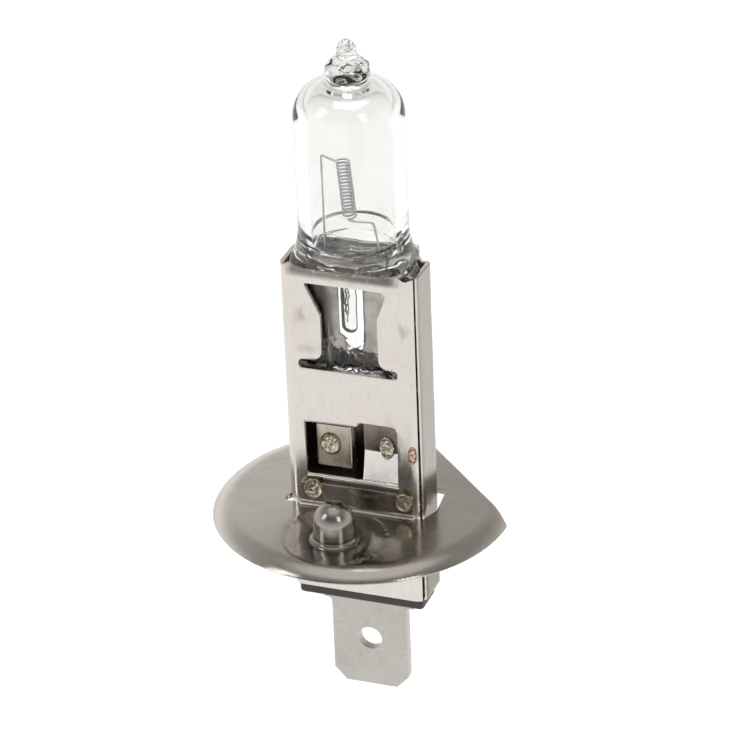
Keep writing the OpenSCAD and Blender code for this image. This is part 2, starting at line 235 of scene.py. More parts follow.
def stack(rings):
    """Skins a stack of equal closed rings and closes both ends with fans."""
    count = len(rings[0])
    points = [tuple(p) for ring in rings for p in ring]
    faces = []
    for k in range(len(rings) - 1):
        for i in range(count):
            j = (i + 1) % count
            faces.append((k * count + i, k * count + j, (k + 1) * count + j, (k + 1) * count + i))
    for ring, first, flip in ((rings[0], 0, True), (rings[-1], (len(rings) - 1) * count, False)):
        points.append(tuple(np.mean(ring, 0)))
        centre = len(points) - 1
        for i in range(count):
            j = (i + 1) % count
            faces.append((centre, first + j, first + i) if flip else (centre, first + i, first + j))
    return points, faces


def tube(path, radius, sides=12):
    """A round tube along a path of points, with closed ends. radius may be a number or one per point."""
    path = np.array(path, float)
    radii = np.broadcast_to(radius, len(path))
    tangents = np.gradient(path, axis=0)
    tangents /= np.linalg.norm(tangents, axis=1)[:, None]
    side = np.cross(tangents[0], (0, 1, 0) if abs(tangents[0][1]) < 0.9 else (1, 0, 0))
    rings = []
    for point, tangent, size in zip(path, tangents, radii):
        side = side - tangent * (side @ tangent)
        side /= np.linalg.norm(side)
        other = np.cross(tangent, side)
        angles = 2 * math.pi * np.arange(sides) / sides
        rings.append(point + size * (np.outer(np.cos(angles), side) + np.outer(np.sin(angles), other)))
    return stack(rings)


def thicken(points, faces, thickness):
    """Gives a surface a thickness against its normals."""
    mesh = bpy.data.meshes.new("scratch")
    mesh.from_pydata([tuple(p) for p in points], [], [tuple(int(i) for i in f) for f in faces])
    mesh.update()
    normals = np.array([tuple(v.normal) for v in mesh.vertices])
    edge_faces = {}
    for f in faces:
        for a, b in zip(f, list(f[1:]) + [f[0]]):
            edge_faces.setdefault((min(a, b), max(a, b)), []).append((a, b))
    bpy.data.meshes.remove(mesh)
    points = np.asarray(points, float)
    count = len(points)
    both = np.vstack([points, points - normals * thickness])
    skin = [tuple(f) for f in faces] + [tuple(i + count for i in reversed(f)) for f in faces]
    skin += [(b, a, a + count, b + count) for uses in edge_faces.values() if len(uses) == 1 for a, b in uses]
    return both, skin


def wander(point, scale, seed=0.0):
    """Smooth noise from -1 to 1 at a point."""
    return noise.noise(Vector(point) * scale + Vector((seed, seed * 1.7, seed * 0.3)))


def mesh_object(name, points, faces, material, slot, replaces=(), bevel=0.0, segments=2, angle=35,
                weld=False):
    """Makes a piece from millimetre points.

    It rides on the body and gets smooth faces and soft edges. The slot argument is not used.
    """
    mesh = bpy.data.meshes.new(name)
    mesh.from_pydata([(p[0] * MM, p[1] * MM, p[2] * MM) for p in points], [],
                     [tuple(int(i) for i in f) for f in faces])
    mesh.update()
    shape = bmesh.new()
    shape.from_mesh(mesh)
    if weld:
        bmesh.ops.remove_doubles(shape, verts=shape.verts, dist=1e-7)
    bmesh.ops.recalc_face_normals(shape, faces=shape.faces)
    shape.to_mesh(mesh)
    shape.free()
    mesh.polygons.foreach_set("use_smooth", [True] * len(mesh.polygons))
    piece = bpy.data.objects.new(name, mesh)
    bpy.context.scene.collection.objects.link(piece)
    mesh.materials.append(material)
    if bevel:
        modifier = piece.modifiers.new("soft_edges", "BEVEL")
        modifier.width = bevel * MM
        modifier.segments = segments
        modifier.limit_method = "ANGLE"
        modifier.angle_limit = math.radians(angle)
        modifier.miter_outer = "MITER_ARC"
        normals = piece.modifiers.new("even_normals", "WEIGHTED_NORMAL")
        normals.keep_sharp = False
        normals.weight = 60
    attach(piece, "root")
    if replaces:
        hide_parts(*replaces)
    return piece


# ---------------------------------------------------------------- material helpers


class Graph:
    """A short way to write a material's nodes."""

    def __init__(self, name):
        self.material = bpy.data.materials.new(name)
        self.material.use_nodes = True
        self.tree = self.material.node_tree
        self.shader = self.tree.nodes["Principled BSDF"]
        self.mm = self.math3("SCALE", self.node("TexCoord").outputs["Object"], scale=1 / MM)

    def node(self, kind, **settings):
        made = self.tree.nodes.new("ShaderNode" + kind)
        for key, value in settings.items():
            setattr(made, key, value)
        return made

    def feed(self, node, **inputs):
        for key, value in inputs.items():
            socket = node.inputs[int(key[1:])] if key[0] == "_" else node.inputs[key.replace("_", " ")]
            if isinstance(value, bpy.types.NodeSocket):
                self.tree.links.new(value, socket)
            else:
                socket.default_value = value
        return node

    def times(self, a, b):
        return self.math("MULTIPLY", a, b)

    def math3(self, operation, vector, other=None, scale=None):
        made = self.node("VectorMath", operation=operation)
        self.tree.links.new(vector, made.inputs[0])
        if other is not None:
            self.feed(made, _1=other)
        if scale is not None:
            made.inputs["Scale"].default_value = scale
        return made.outputs["Value" if operation in ("DISTANCE", "LENGTH", "DOT_PRODUCT") else "Vector"]

    def math(self, operation, a, b=0.0, clamp=False):
        made = self.node("Math", operation=operation, use_clamp=clamp)
        return self.feed(made, _0=a, _1=b).outputs[0]

    def noise(self, scale, stretch=(1, 1, 1), detail=3.0, roughness=0.5, distortion=0.0):
        """Noise from 0 to 1; scale is in waves per millimetre, stretch multiplies it by axis."""
        where = self.math3("MULTIPLY", self.mm, stretch)
        made = self.node("TexNoise")
        self.feed(made, Vector=where, Scale=scale, Detail=detail, Roughness=roughness, Distortion=distortion)
        return made.outputs["Fac"]

    def ramp(self, value, low, high, to_low=0.0, to_high=1.0, smooth=True):
        made = self.node("MapRange", interpolation_type="SMOOTHSTEP" if smooth else "LINEAR")
        self.feed(made, Value=value, From_Min=low, From_Max=high, To_Min=to_low, To_Max=to_high)
        return made.outputs["Result"]

    def mix(self, factor, a, b, blend="MIX"):
        made = self.node("Mix", data_type="RGBA", blend_type=blend)
        self.feed(made, _0=factor, _6=a, _7=b)
        return made.outputs[2]

    def near(self, centre, inner, outer):
        """1 within inner of a point, 0 beyond outer, millimetres."""
        return self.ramp(self.math3("DISTANCE", self.mm, centre), inner, outer, 1.0, 0.0)

    def axis(self, letter):
        return self.feed(self.node("SeparateXYZ"), _0=self.mm).outputs[letter]

    def set(self, **inputs):
        self.feed(self.shader, **inputs)

    def bump(self, heights):
        """Adds bumps from (height socket, depth in millimetres) pairs."""
        normal = None
        for height, depth in heights:
            made = self.node("Bump")
            self.feed(made, Height=height, Distance=depth * MM, Strength=1.0)
            if normal is not None:
                self.tree.links.new(normal, made.inputs["Normal"])
            normal = made.outputs["Normal"]
        self.tree.links.new(normal, self.shader.inputs["Normal"])


def plated(name, colour, dark, roughness, grain=(1, 1, 0.06), grain_depth=0.0006, cloud=0.35, heat=(),
           stains=0.5,
           specks=0.5, smudges=(), wrapped=False, disc=False):
    """Nickel-plated sheet: clouding, drawing lines, small pits, handling marks, heat tint round welds; on the
    disc and the wrapped sleeve also painted shade and painted highlights.
    """
    g = Graph(name)
    clouds = g.noise(0.32, detail=4, roughness=0.6, distortion=0.6)
    fine = g.noise(9, stretch=grain, detail=4, roughness=0.6)
    marks = g.noise(1.3, stretch=(1, 1, 0.5), detail=6, roughness=0.7)
    tone = g.mix(g.ramp(clouds, 0.5 - cloud, 0.5 + cloud), dark, colour)
    tone = g.mix(g.ramp(marks, 0.62, 0.8, 0.0, 0.35 * stains), tone, (0.30, 0.25, 0.2, 1))
    tone = g.mix(g.ramp(fine, 0.3, 0.7, 0.0, 0.12), tone, (0.9, 0.88, 0.85, 1))
    for centre, reach in heat:
        ring = g.near(centre, reach * 0.55, reach)
        uneven = g.times(ring, g.ramp(marks, 0.25, 0.6, 0.35, 1.0))
        tone = g.mix(g.times(uneven, 0.8), tone, (0.46, 0.36, 0.17, 1))
        rim = g.times(g.near(centre, reach * 0.75, reach * 1.35), g.ramp(marks, 0.4, 0.65, 0.0, 0.45))
        tone = g.mix(rim, tone, (0.24, 0.19, 0.16, 1))
    pits = g.feed(g.node("TexVoronoi", feature="F1"), Vector=g.mm, Scale=0.8,
                  Randomness=1.0).outputs["Distance"]
    pit = g.ramp(pits, 0.03, 0.07, 1.0, 0.0)
    tone = g.mix(g.times(pit, 0.7 * specks), tone, (0.1, 0.085, 0.07, 1))
    for centre, reach in smudges:
        spot = g.times(g.near(centre, 0.0, reach), g.ramp(marks, 0.4, 0.65, 0.0, 0.6))
        tone = g.mix(spot, tone, (0.33, 0.28, 0.24, 1))
    if disc:
        x, y, z = (g.axis(letter) for letter in "XYZ")
        # painted light and shade: lighter to the left, darker and browner to the right; painted shade over
        # the nub, round its foot and on the cut edge
        # painted shade across the disc: brightened on the left, darkened and browned on the right
        turned = g.math("ADD", g.times(x, 0.9), g.times(y, -0.35))
        brown = g.math("ADD", g.ramp(turned, -7, 4), g.ramp(clouds, 0.3, 0.7, -0.2, 0.2), clamp=True)
        tone = g.mix(brown, g.mix(1.0, tone, (1.12, 1.11, 1.1, 1), "MULTIPLY"),
                     g.mix(1.0, tone, (0.7, 0.675, 0.645, 1), "MULTIPLY"))
        # painted shade: the nub's dome and sides are darkened
        nub = g.near((NUB[0], NUB[1], 1.6), 2.1, 2.3)
        tone = g.mix(g.times(nub, 0.85), tone, (0.33, 0.31, 0.285, 1))
        # painted shade in the corner round the foot of the nub
        on_disc = g.math("LESS_THAN", z, 0.42)
        foot = g.times(on_disc, g.near((NUB[0], NUB[1], 0), NUB_FOOT_R, NUB_FOOT_R + 0.5))
        tone = g.mix(g.times(foot, 0.75), tone, (0.2, 0.185, 0.17, 1))
        # painted shade on the rim's turned-down edge and along the straight cut side
        cut_edge_shade = g.math("ADD", g.ramp(z, -0.86, -0.76, 1.0, 0.0), g.ramp(
            g.math3("DOT_PRODUCT", g.mm, (0.7071, 0.7071, 0)), 8.44, 8.5, 0.0, 0.6), clamp=True)
        tone = g.mix(cut_edge_shade, tone, (0.16, 0.14, 0.12, 1))
    if wrapped:
        x, y, z = (g.axis(letter) for letter in "XYZ")
        # painted shade: the narrow walls are greyer, most of all at the foot
        out = g.ramp(g.math("ABSOLUTE", x), HALF_W - 0.1, HALF_W - 0.04)
        tone = g.mix(out, tone, g.mix(1.0, tone, (0.52, 0.505, 0.49, 1), "MULTIPLY"))
        foot = g.times(out, g.ramp(z, 1.6, 3.4, 1.0, 0.0))
        tone = g.mix(foot, tone, g.mix(1.0, tone, (0.6, 0.56, 0.52, 1), "MULTIPLY"))
        # painted shade makes the inside dark; painted highlights make the rolled window foot and the slope of
        # the tongue bright
        depth = g.math("MINIMUM", g.math("SUBTRACT", HALF_W, g.math("ABSOLUTE", x)),
                       g.math("SUBTRACT", y, FRONT_Y))
        depth = g.math("MINIMUM", depth, g.math("SUBTRACT", BACK_Y, y))
        # painted highlight on the slope of the tongue, streaked by the marks
        slope = g.times(g.math("LESS_THAN", z, TONGUE_BEND_Z), g.math("GREATER_THAN", z, 2.1))
        slope = g.times(slope, g.math("LESS_THAN", g.math("ABSOLUTE", x), TONGUE_X[1] + 0.05))
        slope = g.times(slope, g.math("LESS_THAN", y, TONGUE_Y + 0.15))
        tone = g.mix(g.times(slope, g.ramp(depth, 0.3, 0.38)), tone,
                     g.mix(marks, (0.98, 0.97, 0.94, 1), (0.8, 0.78, 0.74, 1)))
        # painted highlight along the rolled window foot
        across = g.times(g.ramp(x, -3.95, -3.8), g.ramp(x, 3.68, 3.8, 1.0, 0.0))
        across = g.times(across, g.math("LESS_THAN", y, FRONT_Y + 0.7))
        bead_highlight = g.times(across, g.times(g.ramp(z, 2.26, 2.34), g.ramp(z, 2.6, 2.7, 1.0, 0.0)))
        tone = g.mix(bead_highlight, tone, (0.97, 0.96, 0.93, 1))
        # painted shade in the crease under the rolled foot
        crease_shade = g.times(across, g.times(g.ramp(z, 1.94, 2.04), g.ramp(z, 2.1, 2.24, 1.0, 0.0)))
        tone = g.mix(g.times(crease_shade, 0.8), tone, (0.13, 0.11, 0.09, 1))
        # painted shade over the inside of the sleeve
        inside_shade = g.times(g.ramp(depth, 0.3, 0.38), g.math("SUBTRACT", 1.0, slope))
        tone = g.mix(inside_shade, tone, g.mix(1.0, tone, (0.36, 0.32, 0.3, 1), "MULTIPLY"))
    rough = g.math("ADD", g.ramp(clouds, 0.3, 0.75, roughness - 0.05, roughness + 0.07),
                   g.ramp(marks, 0.45, 0.8, 0.0, 0.12))
    g.set(Base_Color=tone, Metallic=1.0, Roughness=rough)
    g.bump([(clouds, 0.012), (fine, grain_depth), (g.math("SUBTRACT", 1.0, pit), 0.006)])
    return g.material


def quartz_material():
    """Clear fused quartz with faint striae along its draw."""
    g = Graph("quartz")
    striae = g.noise(1.6, stretch=(1, 1, 0.12), detail=3)
    clouds = g.noise(0.5, detail=3)
    tint = g.mix(g.ramp(clouds, 0.3, 0.7), (0.905, 0.908, 0.902, 1), (0.885, 0.889, 0.88, 1))
    g.set(Base_Color=tint, Roughness=g.ramp(clouds, 0.35, 0.7, 0.0, 0.015), Transmission_Weight=1.0, IOR=1.46)
    g.bump([(striae, 0.004)])
    return g.material


def tungsten_material():
    g = Graph("tungsten")
    drawn = g.noise(22, stretch=(1, 1, 0.2), detail=3)
    tone = g.mix(drawn, (0.44, 0.44, 0.45, 1), (0.66, 0.66, 0.67, 1))
    g.set(Base_Color=tone, Metallic=1.0, Roughness=g.ramp(drawn, 0.3, 0.7, 0.3, 0.5))
    g.bump([(drawn, 0.002)])
    return g.material


def molybdenum_material():
    g = Graph("molybdenum")
    rolled = g.noise(3, stretch=(3, 1, 0.1), detail=4)
    clouds = g.noise(0.6, detail=3)
    tone = g.mix(rolled, (0.4, 0.375, 0.35, 1), (0.66, 0.63, 0.59, 1))
    tone = g.mix(g.ramp(clouds, 0.4, 0.7, 0.0, 0.4), tone, (0.3, 0.28, 0.26, 1))
    bands = g.noise(1.1, stretch=(1, 0, 0.03), detail=2)
    left = g.ramp(g.axis("X"), -1.9, -2.6)
    tone = g.mix(g.times(left, g.ramp(bands, 0.35, 0.6, 0.0, 0.7)), tone, (0.24, 0.22, 0.2, 1))
    g.set(Base_Color=tone, Metallic=1.0, Roughness=g.ramp(clouds, 0.3, 0.7, 0.28, 0.45))
    g.bump([(rolled, 0.01)])
    return g.material


def insulator_material():
    """Dark brown phenolic moulding, a little dusty."""
    g = Graph("insulator")
    grain = g.noise(6, detail=5, roughness=0.7)
    clouds = g.noise(0.7, detail=3)
    tone = g.mix(clouds, (0.022, 0.016, 0.013, 1), (0.05, 0.038, 0.032, 1))
    tone = g.mix(g.ramp(grain, 0.6, 0.8, 0.0, 0.4), tone, (0.12, 0.1, 0.085, 1))
    g.set(Base_Color=tone, Roughness=g.ramp(grain, 0.3, 0.7, 0.38, 0.6))
    g.bump([(grain, 0.02)])
    return g.material


def weld_material():
    """Resistance-weld nugget: crystals with painted glints in the middle, straw and brown round it."""
    g = Graph("weld")
    crystals = g.feed(g.node("TexVoronoi", feature="F1"), Vector=g.mm, Scale=3.2, Randomness=1.0)
    cells = crystals.outputs["Distance"]
    soot = g.noise(2.5, detail=5, roughness=0.7)
    tone = g.mix(g.ramp(soot, 0.4, 0.7), (0.68, 0.64, 0.54, 1), (0.38, 0.32, 0.23, 1))
    # painted glints: each crystal cell is lighter towards its centre
    tone = g.mix(g.ramp(cells, 0.0, 0.5, 0.5, 0.0), tone, (0.86, 0.84, 0.76, 1))
    for name, centre in WELDS.items():
        size = WELD_R[name]
        groove = g.times(g.near(centre, 0.96 * size, 1.08 * size), g.ramp(
            g.math3("DISTANCE", g.mm, centre), 0.72 * size, 0.84 * size))
        tone = g.mix(g.times(groove, 0.75), tone, (0.16, 0.11, 0.06, 1))
    tone = g.mix(g.near(WELDS["seam"], 0.9, 1.0), tone, g.mix(1.0, tone, (0.75, 0.5, 0.45, 1), "MULTIPLY"))
    g.set(Base_Color=tone, Metallic=1.0, Roughness=g.ramp(soot, 0.3, 0.7, 0.16, 0.4))
    g.bump([(cells, 0.05), (soot, 0.02)])
    return g.material


SLEEVE_HEAT = (
    ((WELDS["tab_left"][0] + 0.2, FRONT_Y, 2.1), 1.3),
    ((WELDS["tab_right"][0] + 0.2, FRONT_Y, 1.6), 0.9),
)
SLEEVE_SMUDGES = (
    ((-3.7, FRONT_Y, 16.6), 1.2), ((-3.6, FRONT_Y, 13.5), 0.9), ((4.3, FRONT_Y, 16.2), 1.1),
    ((4.4, FRONT_Y, 3.4), 1.6),
    ((-4.9, FRONT_Y, 4.6), 1.4), ((4.9, FRONT_Y, 5.4), 1.3), ((0.5, FRONT_Y, 20.6), 1.5),
    ((3.2, FRONT_Y, 7.8), 0.7),
)
MATERIALS = {
    "quartz": quartz_material(),
    "tungsten": tungsten_material(),
    "molybdenum": molybdenum_material(),
    "sleeve": plated("sleeve_plating", (0.64, 0.605, 0.565, 1), (0.57, 0.535, 0.495, 1), 0.22,
                     heat=SLEEVE_HEAT,
                     smudges=SLEEVE_SMUDGES, wrapped=True),
    "flange": plated("flange_plating", (0.64, 0.612, 0.575, 1), (0.52, 0.495, 0.462, 1), 0.17,
                     grain=(1, 1, 1),
                     grain_depth=0.0004, heat=((WELDS["tab_left"], 1.2), (WELDS["tab_right"], 1.1)),
                     disc=True),
    "blade": plated("blade_plating", (0.46, 0.442, 0.415, 1), (0.36, 0.342, 0.315, 1), 0.3, grain=(1, 1, 0.3),
                    grain_depth=0.0006, specks=0.8),
    "contact": plated("contact_plating", (0.6, 0.55, 0.47, 1), (0.5, 0.45, 0.37, 1), 0.3,
                      heat=((WELDS["contact"], 1.35),), stains=1.0),
    "insulator": insulator_material(),
    "weld": weld_material(),
}

# ---------------------------------------------------------------- sleeve

SPOOL_WINDOW = [
    (-3.5, 19.3, 0.12), (3.3, 19.3, 0.45), (2.4, 16.9, 1.2), (2.4, 12.65, 0.8), (3.95, 12.62, 0.3),
    (3.88, 11.9, 0.3), (-4.25, 11.9, 0.3), (-4.15, 12.65, 0.33), (-2.25, 12.85, 0.7), (-2.25, 16.6, 1.0),
]
BACK_WINDOW = [
    (-3.5, 19.3, 0.12), (3.3, 19.3, 0.45), (2.4, 16.9, 1.2), (2.4, 12.6, 0.3), (-2.25, 12.6, 0.3),
    (-2.25, 16.6, 1.0),
]
LOWER_WINDOW = [
    (-4, 7.15, 0.08), (0.3, 7.25, 0.15), (0.65, 7.65, 0.2), (3.75, 7.65, 0.6),
    (3.65, WINDOW_FOOT - 0.2, 0.15),
    (-3.85, WINDOW_FOOT - 0.2, 0.15),
]
SEAM_GAP = 0.16
SIDE_RUN = BACK_Y - FRONT_Y - FRONT_BEND - BACK_BEND
# the wrapped sheet from its seam in the front right bend:
# length, start or bend centre, way or angle, bend radius
SLEEVE_RUNS = [
    (FRONT_BEND * math.pi / 4, (HALF_W - FRONT_BEND, FRONT_Y + FRONT_BEND), -45, FRONT_BEND),
    (2 * (HALF_W - FRONT_BEND), (HALF_W - FRONT_BEND, FRONT_Y), (-1, 0), 0),
    (FRONT_BEND * math.pi / 2, (FRONT_BEND - HALF_W, FRONT_Y + FRONT_BEND), -90, FRONT_BEND),
    (SIDE_RUN, (-HALF_W, FRONT_Y + FRONT_BEND), (0, 1), 0),
    (BACK_BEND * math.pi / 2, (BACK_BEND - HALF_W, BACK_Y - BACK_BEND), -180, BACK_BEND),
    (2 * (HALF_W - BACK_BEND), (BACK_BEND - HALF_W, BACK_Y), (1, 0), 0),
    (BACK_BEND * math.pi / 2, (HALF_W - BACK_BEND, BACK_Y - BACK_BEND), -270, BACK_BEND),
    (SIDE_RUN, (HALF_W, BACK_Y - BACK_BEND), (0, -1), 0),
    (FRONT_BEND * math.pi / 4, (HALF_W - FRONT_BEND, FRONT_Y + FRONT_BEND), 0, FRONT_BEND),
]


def round_the_sleeve(q):
    """The sleeve's outer face at q millimetres from the seam, going left along the front, and its normal."""
    for run in SLEEVE_RUNS:
        length, start, way, bend = run
        if q <= length or run is SLEEVE_RUNS[-1]:
            break
        q -= length
    if not bend:
        return (start[0] + way[0] * q, start[1] + way[1] * q), (way[1], -way[0])
    t = math.radians(way) - q / bend
    return (start[0] + bend * math.cos(t), start[1] + bend * math.sin(t)), (math.cos(t), math.sin(t))


def front_q(x):
    """The q of a point on the front wall."""
    return SLEEVE_RUNS[0][0] + HALF_W - FRONT_BEND - x


def back_q(x):
    """The q of a point on the back wall."""
    return sum(run[0] for run in SLEEVE_RUNS[:5]) + x + HALF_W - BACK_BEND


def smooth(t):
    t = min(1.0, max(0.0, t))
    return t * t * (3 - 2 * t)


def sleeve_point(q, z):
    """A point of the sleeve's outer face, with the lip pressed in at the front's top and slight waviness."""
    (x, y), (nx, ny) = round_the_sleeve(q)
    along = smooth((x + 5.2) / 0.8) * smooth((4.6 - x) / 1.3) if y < FRONT_Y + 0.3 else 0.0
    lip = along * smooth((z - 19.75) / 0.9)
    press = lip * (0.42 + 0.12 * (x + 5) / 9)
    z += along * 0.24 * smooth((z - 19.8) / 0.8)
    if y < 0 and x > 4.2:
        z -= 0.15 * smooth((z - 19.5) / 1.1) * math.exp(-((x - 4.75) / 0.35) ** 2)
    swell = 0.012 * wander((x, y, z), 0.35, 3) + 0.006 * wander((x, y, z), 0.9, 8)
    # a shallow hollow was pressed beside the foot of the upper window
    if y < 0:
        swell -= 0.15 * math.exp(-((x + 3.4) / 1.0) ** 2 - ((z - 13.2) / 0.5) ** 2)
        swell -= 0.05 * math.exp(-((x - 3.4) / 1.0) ** 2 - ((z - 13.3) / 0.5) ** 2)
    return x + nx * swell, y + ny * swell + press, z


def tongue():
    """The earth tongue: the sheet folds in at the lower window's foot, slopes back and stands up."""
    foot = np.array((FRONT_Y + 0.3, WINDOW_FOOT - 0.24))
    bends = [foot, np.array((FRONT_Y + 0.42, WINDOW_FOOT + 0.06)), np.array((TONGUE_Y, TONGUE_BEND_Z)),
             np.array((TONGUE_Y, 7.27))]
    profile = [foot]
    for before, here, after in zip(bends, bends[1:], bends[2:]):
        a = here + (before - here) / np.linalg.norm(before - here) * 0.14
        b = here + (after - here) / np.linalg.norm(after - here) * 0.14
        profile += [(1 - t) ** 2 * a + 2 * t * (1 - t) * here + t * t * b for t in np.linspace(0, 1, 7)]
    profile.append(bends[-1])
    profile = [np.array(p) for p in resample(profile, 0.15, closed=False)]
    columns = np.linspace(*TONGUE_X, 25)
    points = []
    for x in columns:
        for y, z in profile:
            lean = -0.08 * smooth((z - 2.6) / 4) * smooth((1.2 - x) / 0.6)
            bow = 0.03 * wander((x, 0, z), 0.6, 19)
            points.append((x + lean, y + bow, z))
    faces = []
    for i in range(len(columns) - 1):
        for k in range(len(profile) - 1):
            a, along = i * len(profile) + k, len(profile)
            faces.append((a, a + along, a + along + 1, a + 1))
    return thicken(points, faces, SHEET - 0.05)


def window_foot():
    """The rolled edge along the lower window's foot, thicker where the tongue leaves it."""
    path, radii = [], []
    for x in np.linspace(-3.9, 3.72, 60):
        radius = 0.2 + 0.09 * smooth((x - 0.1) / 0.7)
        path.append((x, FRONT_Y + radius - 0.02,
                     WINDOW_FOOT - radius + 0.04 + 0.02 * wander((x, 0, 0), 0.8, 23)))
        radii.append(radius)
    return tube(path, radii, 20)


def seam_flap():
    """The side wall's edge, tucked in behind the front wall."""
    x0, x1, y0 = 4.1, HALF_W - SHEET - 0.02, FRONT_Y + SHEET + 0.25
    rings = []
    for z in np.linspace(2.2, 7.4, 12):
        ring = [(x0, y0), (x1, y0), (x1, y0 + 0.7), (x1 - 0.25, y0 + 0.7), (x1 - 0.25, y0 + 0.28),
                (x0, y0 + 0.28)]
        rings.append([(x, y, z) for x, y in ring])
    return stack(rings)


def build_sleeve():
    low, length = SLEEVE_LOW[2], sum(run[0] for run in SLEEVE_RUNS) - SEAM_GAP
    back_left, back_right = back_q(-4.2), back_q(4.2)
    border = [
        (0.06, low), (length - 0.04, low), (length, SLEEVE_TOP), (back_q(4.9), SLEEVE_TOP - 0.1),
        (back_right, SLEEVE_HIGH[2]),
        (back_left, SLEEVE_HIGH[2]), (back_q(-4.9), SLEEVE_TOP), (0, SLEEVE_TOP),
    ]
    holes = [[(front_q(x), z) for x, z in rounded(w)] for w in (SPOOL_WINDOW, LOWER_WINDOW)]
    holes.append([(back_q(x), z) for x, z in rounded(BACK_WINDOW)])
    for x in (-3.2, 1.3):
        corners = [(x, 6.4, 0.3), (x + 1.6, 6.4, 0.3), (x + 1.6, 3.4, 0.3), (x, 3.4, 0.3)]
        holes.append([(back_q(a), b) for a, b in rounded(corners)])
    corner_q = back_q(HALF_W - BACK_BEND) + 0.4
    for z0, z1 in ((5.3, 7.5), (15.2, 17.9)):
        q0, q1 = corner_q - 0.45, corner_q + 0.2
        holes.append(rounded([(q0, z0, 0.12), (q1, z0, 0.12), (q1, z1, 0.12), (q0, z1, 0.12)]))
    edges = [0]
    for run in SLEEVE_RUNS:
        edges.append(edges[-1] + run[0])
    edges[-1] -= SEAM_GAP
    marks = [(a, b, 0.09 if run[3] else 0.33) for run, a, b in zip(SLEEVE_RUNS, edges, edges[1:])]
    columns = steps_between(marks)[1:-1]
    rows = steps_between([(low, 1.9, 0.33), (1.9, 2.5, 0.06), (2.5, 19.6, 0.33),
                          (19.6, SLEEVE_HIGH[2], 0.1)])[1:-1]
    outlines = [resample(border, 0.2)] + [resample(h, 0.2) for h in holes]
    points, faces = flat_mesh(outlines, columns, rows)
    shell = thicken([sleeve_point(q, z) for q, z in points], [tuple(reversed(f)) for f in faces], SHEET)
    points, faces = join([shell, tongue(), window_foot(), seam_flap()])
    mesh_object("sleeve_shell", points, faces, MATERIALS["sleeve"], "sleeve_sheet", ["sleeve"], bevel=0.05)


build_sleeve()

# ---------------------------------------------------------------- flange

FLANGE_SHEET = 0.42
RIM_R = 2.17
RIM_ANGLE = math.radians(51)
FLANGE_R = 11.88
RIM_FLAT = FLANGE_R - RIM_R * math.sin(RIM_ANGLE)
CHORD = 8.5
TAB_X = (-4.43, 4.95)
TAB_BEND = 0.4
TAB_TOP = 2.0
OPENING_X, OPENING_Y = 5.95, 2.7
SLEEVE_MID_Y = (FRONT_Y + BACK_Y) / 2
NUB_R = 1.66
NUB_FLARE = 0.32
EMBOSS_R = 4.1


def flange_height(x, y):
    """Height of the flange's upper face from its blank: pressed ring round the nub and slight waviness."""
    away = math.hypot(x - NUB[0], y - NUB[1])
    step = 0.07 * (1 - smooth((away - EMBOSS_R + 0.1) / 0.22))
    ridge = 0.035 * math.exp(-((away - 3.1) / 0.4) ** 2) * smooth((x + 0.5) / 1.5)
    dish = 0.03 * (1 - smooth((away - NUB_R - NUB_FLARE) / 0.9))
    fade = smooth((-2.55 - y) / 0.35)
    swell = 0.014 * wander((x, y, 0), 0.3, 5) + 0.005 * wander((x, y, 0), 1.0, 2)
    return swell + fade * (ridge - step - dish)


def flange_point(x, y):
    """Folds a point of the flat blank into place: tabs bend up, the rim rolls down."""
    for side, wall in ((-1, FRONT_Y), (1, BACK_Y)):
        root = wall + side * (TAB_BEND + FLANGE_SHEET)
        run = (root - y) * side
        sweep = TAB_BEND * math.pi / 2
        if 0 < run < sweep + TAB_TOP and TAB_X[0] - 1e-6 <= x <= TAB_X[1] + 1e-6:
            if run < sweep:
                t = run / TAB_BEND
                return x, root - side * TAB_BEND * math.sin(t), TAB_BEND * (1 - math.cos(t))
            return x, root - side * TAB_BEND, TAB_BEND + run - sweep
    radius = math.hypot(x, y)
    z = flange_height(x, y)
    if radius > RIM_FLAT:
        t = (radius - RIM_FLAT) / RIM_R
        shrink = (RIM_FLAT + RIM_R * math.sin(t)) / radius
        x, y, z = x * shrink, y * shrink, z - RIM_R * (1 - math.cos(t))
    return x, y, z


def flange_border():
    """The blank's outer outline: a circle with one straight side, laid out flat."""
    blank_r = RIM_FLAT + RIM_R * RIM_ANGLE
    half = math.degrees(math.acos(CHORD / FLANGE_R))
    points = []
    for t in np.radians(np.linspace(45 + half, 405 - half, 160)):
        points.append((blank_r * math.cos(t), blank_r * math.sin(t)))
    # along the straight side the blank's points are spread so that they fold down onto the chord
    reach = math.sqrt(FLANGE_R ** 2 - CHORD ** 2)
    turn = math.radians(45)
    for s in np.linspace(-reach, reach, 90)[1:-1]:
        radius = math.hypot(s, CHORD)
        grow = 1.0
        if radius > RIM_FLAT:
            grow = (RIM_FLAT + RIM_R * math.asin(min(1, (radius - RIM_FLAT) / RIM_R))) / radius
        x = (CHORD * math.cos(turn) - s * math.sin(turn)) * grow
        y = (CHORD * math.sin(turn) + s * math.cos(turn)) * grow
        points.append((x, y))
    return points


